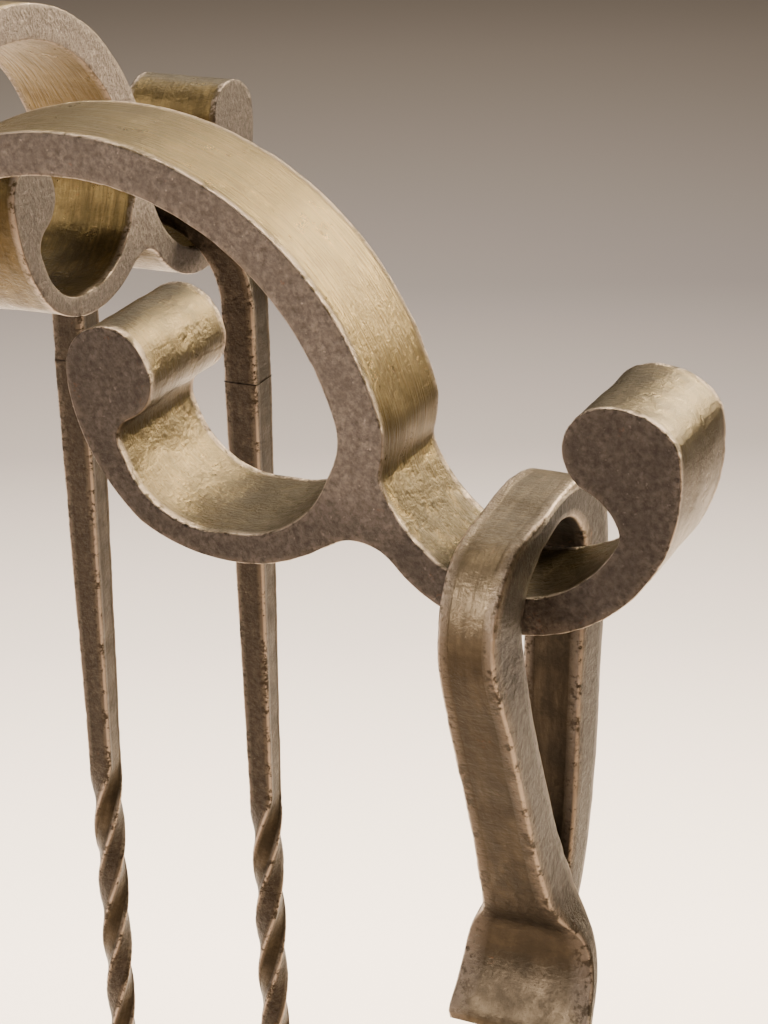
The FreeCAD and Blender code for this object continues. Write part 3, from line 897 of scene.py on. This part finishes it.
def spline(values, at, count):
    """Smooth curve through rows of values: a row is a station, `at` says how far along each one is."""
    values, at = np.array(values, float), np.array(at, float)
    slopes = np.gradient(values, at, axis=0)
    out = []
    for x in np.linspace(at[0], at[-1], count):
        k = min(len(at) - 2, max(0, int(np.searchsorted(at, x)) - 1))
        span = at[k + 1] - at[k]
        t = (x - at[k]) / span
        out.append((2 * t ** 3 - 3 * t ** 2 + 1) * values[k] + (t ** 3 - 2 * t ** 2 + t) * span * slopes[k]
                   + (3 * t ** 2 - 2 * t ** 3) * values[k + 1] + (t ** 3 - t ** 2) * span * slopes[k + 1])
    return np.array(out)


def handle_path(bottom):
    """Centre line of handle and shaft, and the width and thickness at each of its points."""
    stations = np.array(HANDLE_STATIONS)
    run = np.r_[0, np.cumsum(np.linalg.norm(np.diff(stations[:, :2], axis=0), axis=1))]
    dense = spline(stations, run, 260)
    path = [(SEAT_RADIUS, y, LOOP_CENTRE + z) for y, z in dense[:, :2]]
    path += [(SEAT_RADIUS, 0, LOOP_CENTRE - SHAFT_STRAIGHT - 3.0), (SEAT_RADIUS, 0, bottom)]
    return path, np.vstack([dense[:, 2:], [(SHAFT_TOP, SHAFT_TOP)] * 2])


def handle_section(path, sizes, bottom_side):
    """Section along the handle and the shaft, by the distance from the flared end's lip."""
    corners = np.r_[0, np.cumsum([math.dist(a, b) for a, b in zip(path, path[1:])])]
    straight_at = corners[-2]
    z_straight = path[-2][2]
    bottom = path[-1][2]
    twist_top = TWIST_TOP - TWIST_DROP
    twist_low = twist_top - TURN_PITCH * TWIST_TURNS

    def section(at):
        if at < straight_at:
            width, thick = (np.interp(at, corners, sizes[:, k]) for k in range(2))
            lip = 1 - smooth_step(at, 0.0, 1.6)
            return width - 1.2 * lip, thick - 1.0 * lip, 0.85 if thick > 6 else 0.6, 0.0
        z = z_straight - (at - straight_at)
        if z > twist_top:
            side = SHAFT_TOP + (TWIST_SIDE - SHAFT_TOP) * (z_straight - z) / (z_straight - twist_top)
        elif z > twist_low:
            side = TWIST_SIDE
        else:
            side = TWIST_SIDE + (bottom_side - TWIST_SIDE) * (twist_low - z) / max(1.0, twist_low - bottom)
        return side, side, 0.75, twist_angle(z, twist_top, twist_low)

    return section


def build_handle(tool, cad_node, bottom, bottom_side, seed, extra=None):
    """Handle and shaft of a tool in one bar, with its weld and any extra shell at the foot."""
    path, sizes = handle_path(bottom)
    points, faces, marks, coords = sweep(path, handle_section(path, sizes, bottom_side), step=1.25, rounds=2)
    # the tone is painted light: a painted highlight on the crown's outside, painted shade down the legs, on
    # the edges and inside the loop, and paler again on the flared tail where it curls up to the light
    height = points[:, 2] - LOOP_CENTRE
    on_face = np.array(marks["wide"]) > 0.4
    outside = np.hypot(points[:, 1], height) > 16.6
    lit_crown = smooth_step(height, -2.0, 12.0) * on_face * outside
    lit_tail = 0.14 * (1 - smooth_step(height, -72.0, -64.0)) + 0.22 * (1 - smooth_step(height, -84.0, -76.0))
    shaded_legs = np.where(on_face, 0.06 + 0.06 * (1 - smooth_step(height, -50.0, -30.0)), 0.0)
    shaded_legs = np.where(on_face & ~outside & (points[:, 1] > 8), 0.0, shaded_legs)
    marks["tone"] = np.where(height > -100.0, np.maximum(np.maximum(shaded_legs, lit_crown), lit_tail), 0.16)
    shell = forge((points, faces, marks, coords), seed, 0.38, 0.30, 8.0)
    shell = joined(shell, weld_lump(seed + 4))
    if extra is not None:
        shell = joined(shell, extra)
    add_piece("forged_" + cad_node, cad_node, tool, TOOL_IRON, shell, ARM_TURN[tool])


def joined(first, second):
    """Two shells as one mesh."""
    points = np.vstack([first[0], second[0]])
    shift = len(first[0])
    faces = list(first[1]) + [tuple(k + shift for k in f) for f in second[1]]
    marks = {key: list(first[2][key]) + list(second[2][key]) for key in first[2]}
    return points, faces, marks, list(first[3]) + list(second[3])


def weld_lump(seed):
    """Rounded lump where the front leg is forge-welded to the back leg."""
    centre = np.array([SEAT_RADIUS + 5.4, 4.2, LOOP_CENTRE - 60.5])
    half_x, half_y, half_z = 2.1, 3.4, 4.4
    points, faces = [], []
    rows, around = 12, 24
    for i in range(1, rows):
        polar = math.pi * i / rows
        for k in range(around):
            turn = 2 * math.pi * k / around
            points.append(centre + np.array([half_x * math.sin(polar) * math.cos(turn),
                                             half_y * math.sin(polar) * math.sin(turn),
                                             half_z * math.cos(polar)]))
    top, low = len(points), len(points) + 1
    points += [centre + np.array([0, 0, half_z]), centre - np.array([0, 0, half_z])]
    for i in range(rows - 2):
        for k in range(around):
            n = (k + 1) % around
            faces.append((i * around + k, (i + 1) * around + k, (i + 1) * around + n, i * around + n))
    for k in range(around):
        n = (k + 1) % around
        faces.append((top, k, n))
        faces.append(((rows - 2) * around + n, (rows - 2) * around + k, low))
    marks = even_marks(points, 0.25, 0.3, rough=0.35, tone=0.8)
    return forge((points, faces, marks, [(0.1, 0.0, 0.0)] * len(points)), seed, 0.5, 0.3, 4.0)


def build_poker():
    tip = 34.0
    point_path = [(SEAT_RADIUS, 0, TOOL_BOTTOM + tip + 1.0), (SEAT_RADIUS, 0, TOOL_BOTTOM + 0.3)]

    def point_section(at):
        side = 7.55 - 6.2 * smooth_step(at, -10.0, tip + 8.0) - 0.5 * smooth_step(at, tip - 4, tip)
        return max(side, 1.1), max(side, 1.1), 0.5, 0.0

    point = forge(sweep(point_path, point_section, step=1.3, rounds=0), 83, 0.2, 0.2, 7.0)
    build_handle("poker", "poker_shaft", TOOL_BOTTOM + tip, 7.6, 81, point)

    # the claw: out of the shaft's side, then a quarter turn down
    root = TOOL_BOTTOM + 78.0
    y = 7.6
    claw_path = [(SEAT_RADIUS, y - 6.0, root + 13.0), (SEAT_RADIUS, y, root + 12.5)]
    claw_path += [(SEAT_RADIUS, y + 19.5 * math.sin(a), root - 5.0 + 17.5 * math.cos(a))
                  for a in np.linspace(0.15, 1.62, 16)]
    length = resample(claw_path, 1.0)[1][-1]

    def claw_section(at):
        part = smooth_step(at, 2.0, length)
        return 6.2 - 3.4 * part, 13.5 - 11.3 * part ** 0.75, 1.0 - 0.4 * part, 0.0

    claw = forge(sweep(claw_path, claw_section, step=1.0, rounds=5), 87, 0.25, 0.3, 7.0)
    add_piece("forged_poker_claw", "poker_claw", "poker", TOOL_IRON, claw)


def tongs_bar(path, section, step, flat_ends):
    """A forged bar of the tongs, dark all along."""
    points, faces, marks, coords = sweep(path, section, step=step, rounds=4, flat_ends=flat_ends)
    marks["tone"] = [0.1] * len(points)
    return forge((points, faces, marks, coords), 91, 0.34, 0.26, 9.0)


def build_tongs():
    x = SEAT_RADIUS
    path = [(x, -BOW_MID, BOW_LEG_END), (x, -BOW_MID, BOW_CENTRE - 1)]
    path += half_turn(x, BOW_CENTRE, BOW_MID, 34)
    path += [(x, BOW_MID, BOW_CENTRE - 1), (x, BOW_MID, BOW_LEG_END)]
    bow = tongs_bar(path, lambda at: (9.5, 9.3, 0.9, 0.0), 1.5, (0, 1))
    add_piece("forged_tongs_bow", "tongs_bow", "tongs", TOOL_IRON, bow, ARM_TURN["tongs"])

    top = BOW_LEG_END
    twist_low = TWIST_TOP - TURN_PITCH * TWIST_TURNS
    jaw_top = TOOL_BOTTOM + 36.0
    jaw_radius = 15.0

    def section(at):
        z = top - at
        if z > TWIST_TOP:
            side = 9.45 - (9.45 - TWIST_SIDE) * (top - z) / (top - TWIST_TOP)
        elif z > twist_low:
            side = TWIST_SIDE - 0.9 * (TWIST_TOP - z) / (TWIST_TOP - twist_low)
        else:
            side = 6.0 + 2.0 * smooth_step(-z, -twist_low, -(jaw_top + 34))
        flat = smooth_step(-z, -(jaw_top + 30), -(jaw_top - 4))
        thick = side * (1 - flat) + 4.3 * flat
        width = side * (1 - flat) + jaw_radius * flat
        reach = z - (TOOL_BOTTOM + jaw_radius)
        if abs(reach) < jaw_radius - 0.1:
            round_width = 2 * math.sqrt(jaw_radius ** 2 - reach ** 2) * 0.995
            width = max(width if reach > 0 else 0.0, round_width)
        return width, thick, 0.8, twist_angle(z, TWIST_TOP, twist_low)

    for name, body, side in (("tongs_leg_left", "tongs_left", 1), ("tongs_leg_right", "tongs_right", -1)):
        leg_y, jaw_y = side * BOW_MID, side * 23.25
        path = [(x, leg_y, top - 0.2), (x, leg_y, jaw_top + 30), (x, jaw_y, jaw_top - 2),
                (x, jaw_y, TOOL_BOTTOM + 0.3)]
        leg = tongs_bar(path, section, 1.4, (0,))
        add_piece("forged_" + name, name, body, TOOL_IRON, leg, ARM_TURN["tongs"])


PAN_LENGTH = 150.0
PAN_WIDTH = 122.0
PAN_SHEET = 2.4
PAN_WALL = 22.0
PAN_CORNER = 26.0
PAN_BEND = 5.0                   # outside radius where the floor turns up into the wall
PAN_BACK = SEAT_RADIUS + 2.0
PAN_TOP = TOOL_BOTTOM + PAN_LENGTH
PAN_LOW = TOOL_BOTTOM + 0.05
PAN_HALF = PAN_WIDTH / 2 - 0.1


def pan_outline():
    """The walled sides as (y, z): up the left, across the top and down the right, open along the lip."""
    side_top, shoulder = PAN_TOP - PAN_CORNER, PAN_HALF - PAN_CORNER
    count, across = 46, 26
    corner = np.linspace(0.1, math.pi / 2, 16)
    out = [(-PAN_HALF, PAN_LOW + (side_top - PAN_LOW) * k / count) for k in range(count + 1)]
    out += [(-shoulder - PAN_CORNER * math.cos(a), side_top + PAN_CORNER * math.sin(a)) for a in corner]
    out += [(-shoulder + 2 * shoulder * k / across, PAN_TOP) for k in range(1, across + 1)]
    out += [(shoulder + PAN_CORNER * math.sin(a), side_top + PAN_CORNER * math.cos(a)) for a in corner]
    out += [(PAN_HALF, side_top - (side_top - PAN_LOW) * k / count) for k in range(1, count + 1)]
    return np.array(out)


def pan_skin(outline, inset):
    """One skin of the pan, as rows of points from its centre on the lip out to the top of the walls."""
    along = np.gradient(outline, axis=0)
    along /= np.linalg.norm(along, axis=1)[:, None]
    inward = np.stack([along[:, 1], -along[:, 0]], axis=1)
    wall = 5.5 + (PAN_WALL - 5.5) * (outline[:, 1] - TOOL_BOTTOM) / 92.0
    heights = np.maximum(np.minimum(wall, PAN_WALL), PAN_BEND + 0.4)
    floor_at, radius = PAN_BACK + inset, PAN_BEND - inset

    def row(drawn_in, depth):
        """The outline drawn in, at a depth for each of its points."""
        drawn = outline + inward * drawn_in
        drawn[:, 1] = np.maximum(drawn[:, 1], PAN_LOW)
        return np.c_[np.broadcast_to(depth, len(outline)), drawn]

    middle = np.array([floor_at, 0.0, PAN_LOW])
    edge = row(PAN_BEND, floor_at)
    rows = [middle + (edge - middle) * part for part in np.linspace(0.04, 1.0, 30)]
    for a in (math.radians(degrees) for degrees in (22, 45, 68, 90)):
        rows.append(row(inset + radius * (1 - math.sin(a)), floor_at + radius * (1 - math.cos(a))))
    for part in np.linspace(0.12, 1.0, 9):
        rows.append(row(inset, PAN_BACK + PAN_BEND + (heights - PAN_BEND) * part))
    return rows, middle


def edge_distance(y, z):
    """How far inside the pan's outline a point is, with round top corners."""
    dy, dz = PAN_HALF - abs(y), PAN_TOP - z
    if dy < PAN_CORNER and dz < PAN_CORNER:
        return PAN_CORNER - math.hypot(PAN_CORNER - dy, PAN_CORNER - dz)
    return min(dy, dz)


def pan_shell():
    """A sheet dished by the hammer, its walls turned up round three sides."""
    outline = pan_outline()
    across = len(outline)
    skins, middles = zip(*(pan_skin(outline, inset) for inset in (0.0, PAN_SHEET)))
    rows = len(skins[0])
    points = np.vstack([*skins[0], *skins[1], *middles])
    rim_wear = [0.0] * (rows - 2) + [0.4, 1.0]
    wear = list(np.repeat(rim_wear * 2, across)) + [0.0, 0.0]
    coords = np.c_[points[:, 2] * MM, points[:, 1] * MM, points[:, 0] * 0]
    coords[-2:] = 0
    hubs = (len(points) - 2, len(points) - 1)

    def index(skin, row):
        start = (skin * rows + row) * across
        return list(range(start, start + across))

    faces = []
    for skin, hub in enumerate(hubs):
        sheet = []
        for row in range(rows - 1):
            sheet += band(index(skin, row), index(skin, row + 1), closed=False)
        first = index(skin, 0)
        sheet += [(first[k], hub, first[k + 1]) for k in range(across - 1)]
        faces += sheet if skin == 0 else flipped(sheet)
    faces += band(index(0, rows - 1), index(1, rows - 1), closed=False)
    # the open front edge: close the sheet between its two skins
    for end in (0, -1):
        columns = [[hubs[skin]] + [index(skin, row)[end] for row in range(rows)] for skin in (0, 1)]
        edge = band(*columns, closed=False)
        faces += edge if end == 0 else flipped(edge)

    in_plane = np.c_[points[:, 0] * 0, points[:, 1:]]
    dish = 0.45 * dimples(in_plane, 17.0, 7) + 0.35 * field(in_plane, 40.0, 9) + 0.2
    inside = np.array([smooth_step(edge_distance(y, z), 4.0, 14.0) for y, z in points[:, 1:]])
    points[:, 0] += inside * np.clip(dish, 0.0, 0.8)
    marks = even_marks(points, 0.0, 0.8, tone=0.9)
    marks["wear"] = wear
    return points, faces, marks, coords


def build_shovel():
    tang_top, tang_low = PAN_TOP + 24.0, PAN_TOP - 48.0
    tang_path = [(SEAT_RADIUS, 0, tang_top + 15.0), (SEAT_RADIUS, 0, tang_low + 0.2)]

    def tang_section(at):
        part = smooth_step(at, 0.0, 15.0)
        return 8.2 - 4.3 * part, 8.2 + 11.6 * part, 0.8, 0.0

    tang = forge(sweep(tang_path, tang_section, step=1.5, rounds=0), 103, 0.2, 0.3, 8.0)
    build_handle("shovel", "shovel_shaft", tang_top + 14.0, 8.2, 101, tang)
    turn = ARM_TURN["shovel"]
    add_piece("sheet_shovel_pan", "shovel_pan", "shovel", TOOL_IRON, pan_shell(), turn)

    heads = []
    for y, z in ((0, tang_low + 9), (-5.2, PAN_TOP - 14), (5.2, PAN_TOP - 14)):
        for face_x, direction in ((PAN_BACK + PAN_SHEET + 0.3, 1), (SEAT_RADIUS - 2.0, -1)):
            heads.append((tuple(turned([(face_x, y, z)], turn)[0]), (-direction, 0, 0), 3.5, 1.6))
    build_rivets("shovel_rivets", "shovel", heads)


BRUSH_HEAD_TOP = 214.0
BRUSH_HEAD_LOW = 172.0
FIBRE_COLUMNS = 66
FIBRE_ROWS = 26
FIBRE_LEVELS = 6
FIBRE_RADIUS = 0.62


def fibre_line(u, v, draw):
    """One fibre from the ferrule (u, v from -1 to 1 across it) to the tip, and its shade."""
    start = np.array([SEAT_RADIUS + v * 13.3, u * 35.0, BRUSH_HEAD_LOW + 4.0])
    splay = 1 + 0.20 * draw.random()
    end_z = TOOL_BOTTOM + 0.4 + 3.5 * draw.random() ** 2 + 2.0 * (u * u)
    end = np.array([SEAT_RADIUS + v * 17.0 * (0.93 + 0.06 * splay) + draw.uniform(-0.7, 0.7),
                    u * 42.6 + draw.uniform(-1.0, 1.0), end_z])
    end[0] = np.clip(end[0], SEAT_RADIUS - 17.8, SEAT_RADIUS + 17.8)
    end[1] = np.clip(end[1], -43.7, 43.7)
    bow = np.array([draw.uniform(-1.0, 1.0), draw.uniform(-1.2, 1.2), 0.0])
    parts = [k / (FIBRE_LEVELS - 1) for k in range(FIBRE_LEVELS)]
    line = [start * (1 - t) + end * t + bow * math.sin(math.pi * t) for t in parts]
    return line, parts, draw.random()


def build_fibres():
    """The bristles as separate three-sided fibres."""
    draw = random.Random(7)
    points, faces, strand, tip = [], [], [], []
    for i in range(FIBRE_COLUMNS):
        for j in range(FIBRE_ROWS):
            u = (i + 0.5 + draw.uniform(-0.4, 0.4)) / FIBRE_COLUMNS * 2 - 1
            v = (j + 0.5 + draw.uniform(-0.4, 0.4)) / FIBRE_ROWS * 2 - 1
            line, parts, tone = fibre_line(u, v, draw)
            first = len(points)
            for middle, t in zip(line, parts):
                radius = FIBRE_RADIUS * (1 - 0.35 * t)
                for a in (2 * math.pi * m / 3 + tone * 6 for m in range(3)):
                    points.append(middle + np.array([radius * math.cos(a), radius * math.sin(a), 0.0]))
                    strand.append(tone)
                    tip.append(t ** 3)
            end = len(points) - 3
            for low in range(first, end, 3):
                for m in range(3):
                    a, b = low + m, low + (m + 1) % 3
                    faces.append((a, a + 3, b + 3, b))
            faces += [(end, end + 2, end + 1), (first, first + 1, first + 2)]
    turn = ARM_TURN["brush"]
    marks = {"wear": strand, "wide": tip, "rough": [0.0] * len(points)}
    shell = (points, faces, marks, turned(points, turn) * MM)
    add_piece("brush_fibres", "brush_bristles", "brush", BRISTLE, shell, turn)


def build_brush():
    build_handle("brush", "brush_shaft", BRUSH_HEAD_TOP - 14.0, 8.4, 111)
    path = [(SEAT_RADIUS, 0, BRUSH_HEAD_TOP - 0.1), (SEAT_RADIUS, 0, BRUSH_HEAD_LOW + 0.1)]

    def section(at):
        part = smooth_step(at, 0.0, 20.0)
        close = 1 - smooth_step(at, 0.0, 2.5)
        bead = math.exp(-((at - 37.0) / 2.2) ** 2) + 0.8 * math.exp(-((at - 24.0) / 2.0) ** 2)
        return (17.0 + 12.6 * part - 2.0 * close + 1.6 * bead,
                25.0 + 46.0 * part - 3.0 * close + 1.8 * bead, 3.4, 0.0)

    ferrule = forge(sweep(path, section, step=1.1, rounds=0), 113, 0.55, 0.3, 9.0)
    add_piece("forged_brush_ferrule", "brush_ferrule", "brush", TOOL_IRON, ferrule,
              ARM_TURN["brush"])
    build_fibres()


# ---------------------------------------------------------------- floor, light and camera

CAMERA_PLACE = (0.3186, -0.4084, 0.9130)
CAMERA_HEADING = 24.3            # degrees that the view turns left of +Y
CAMERA_DROP = 22.0               # degrees below the horizon
CAMERA_ROLL = 1.3
CAMERA_LENS = 94.6


FLOOR_HALF = 30.0                # metres, as are the lights' places and sizes below
FLOOR_DROP = 0.0005
# the floor's colour by distance ahead of the camera, a painted falloff of the light: bright near the stand,
# darkest in the middle distance
FLOOR_FALLOFF_STOPS = [
    (0.0, (0.97, 0.83, 0.69)),
    (0.10, (0.93, 0.81, 0.70)),
    (0.22, (0.48, 0.42, 0.375)),
    (0.33, (0.225, 0.197, 0.177)),
    (0.46, (0.160, 0.140, 0.126)),
    (0.77, (0.230, 0.193, 0.156)),
    (1.0, (0.235, 0.190, 0.145)),
]


def build_floor():
    """Paper sweep, its colour painted from cream beside the stand down to taupe far behind it: a painted
    falloff of the light.
    """
    mesh = bpy.data.meshes.new("studio_floor")
    corners = [(x * FLOOR_HALF, y * FLOOR_HALF, 0) for x, y in ((-1, -1), (1, -1), (1, 1), (-1, 1))]
    mesh.from_pydata(corners, [], [(0, 1, 2, 3)])
    floor = bpy.data.objects.new("studio_floor", mesh)
    floor.location.z = -FLOOR_DROP
    bpy.context.scene.collection.objects.link(floor)
    graph = Graph("floor_paper", Roughness=0.8)
    away = graph.add("ShaderNodeVectorMath")
    away.operation = "DOT_PRODUCT"
    heading = math.radians(CAMERA_HEADING)
    away.inputs[1].default_value = (-math.sin(heading), math.cos(heading), 0)
    graph.join(graph.place(), away.inputs[0])
    share = graph.add("ShaderNodeMapRange", From_Min=0.6, From_Max=4.6)
    graph.join(away.outputs["Value"], share.inputs["Value"])
    graph.join(graph.ramp(share.outputs["Result"], FLOOR_FALLOFF_STOPS), graph.shader.inputs["Base Color"])
    mesh.materials.append(graph.material)


def soft_light(name, location, target, size_x, size_y, power, colour, spread=180.0):
    data = bpy.data.lights.new(name, "AREA")
    data.shape = "RECTANGLE"
    data.size, data.size_y = size_x, size_y
    data.energy = power
    data.spread = math.radians(spread)
    data.color = colour
    light = bpy.data.objects.new(name, data)
    light.location = location
    light.rotation_euler = (Vector(target) - Vector(location)).to_track_quat("-Z", "Y").to_euler()
    bpy.context.scene.collection.objects.link(light)


def build_camera():
    heading, drop, roll = (math.radians(a) for a in (CAMERA_HEADING, CAMERA_DROP, CAMERA_ROLL))
    right = Vector((math.cos(heading), math.sin(heading), 0))
    level = Vector((-math.sin(heading), math.cos(heading), 0))
    forward = level * math.cos(drop) - Vector((0, 0, math.sin(drop)))
    down = forward.cross(right)
    across = right * math.cos(roll) + down * math.sin(roll)
    upward = right * math.sin(roll) - down * math.cos(roll)
    turn = Matrix((across, upward, -forward)).transposed().to_4x4()
    data = bpy.data.cameras.new("camera")
    data.lens = CAMERA_LENS
    data.sensor_width = 36.0
    data.clip_start = 0.02
    camera = bpy.data.objects.new("camera", data)
    camera.matrix_world = Matrix.Translation(CAMERA_PLACE) @ turn
    bpy.context.scene.collection.objects.link(camera)
    bpy.context.scene.camera = camera
    return right, level


def build_studio():
    right, ahead = build_camera()
    hook = Vector((0.16, 0, 0.74))
    world = bpy.data.worlds.new("studio")
    bpy.context.scene.world = world
    world.use_nodes = True
    world.node_tree.nodes["Background"].inputs[0].default_value = (0.42, 0.36, 0.31, 1)
    world.node_tree.nodes["Background"].inputs[1].default_value = 0.16
    over = Vector((0.36, 0.84, 0.46)) * 1.4
    soft_light("back_softbox", hook + over, hook, 0.56, 0.36, 92.0, (1.0, 0.86, 0.63))
    far = Vector((-0.38, 0.845, 0.42)) * 1.9
    soft_light("far_softbox", hook + far, hook, 0.8, 0.5, 6.0, (1.0, 0.88, 0.70))
    soft_light("floor_lamp_near", (-0.45, 0.85, 2.1), (-0.85, 1.9, 0), 1.1, 1.1, 100.0, (1.0, 0.93, 0.86),
               spread=120.0)
    soft_light("floor_lamp_front", (-0.75, -1.45, 1.5), (-0.75, -1.35, 0), 1.0, 1.0, 128.0, (1.0, 0.90, 0.80))
    side = hook + right * 1.3 + ahead * 0.35 + Vector((0, 0, 0.1))
    soft_light("right_softbox", side, hook, 0.3, 0.8, 0.7, (1.0, 0.86, 0.72))
    soft_light("top_softbox", hook + Vector((-0.1, 0.1, 1.2)), hook, 0.5, 0.5, 6.5, (1.0, 0.88, 0.68))


build_floor()
build_studio()
build_arms()
build_core()
build_legs()
build_collar("top_collar", 650.0, 24.0, 51)
build_collar("middle_collar", JOINT_HEIGHT, 30.0, 53)
build_collar("bottom_collar", 118.0, 24.0, 57)
build_rivets("arm_rivets", "stand", stand_rivet_heads((608.0, 380.0)))
build_rivets("leg_rivets", "stand", stand_rivet_heads((290.0, 180.0)))
build_poker()
build_tongs()
build_shovel()
build_brush()

bpy.context.view_layer.update()
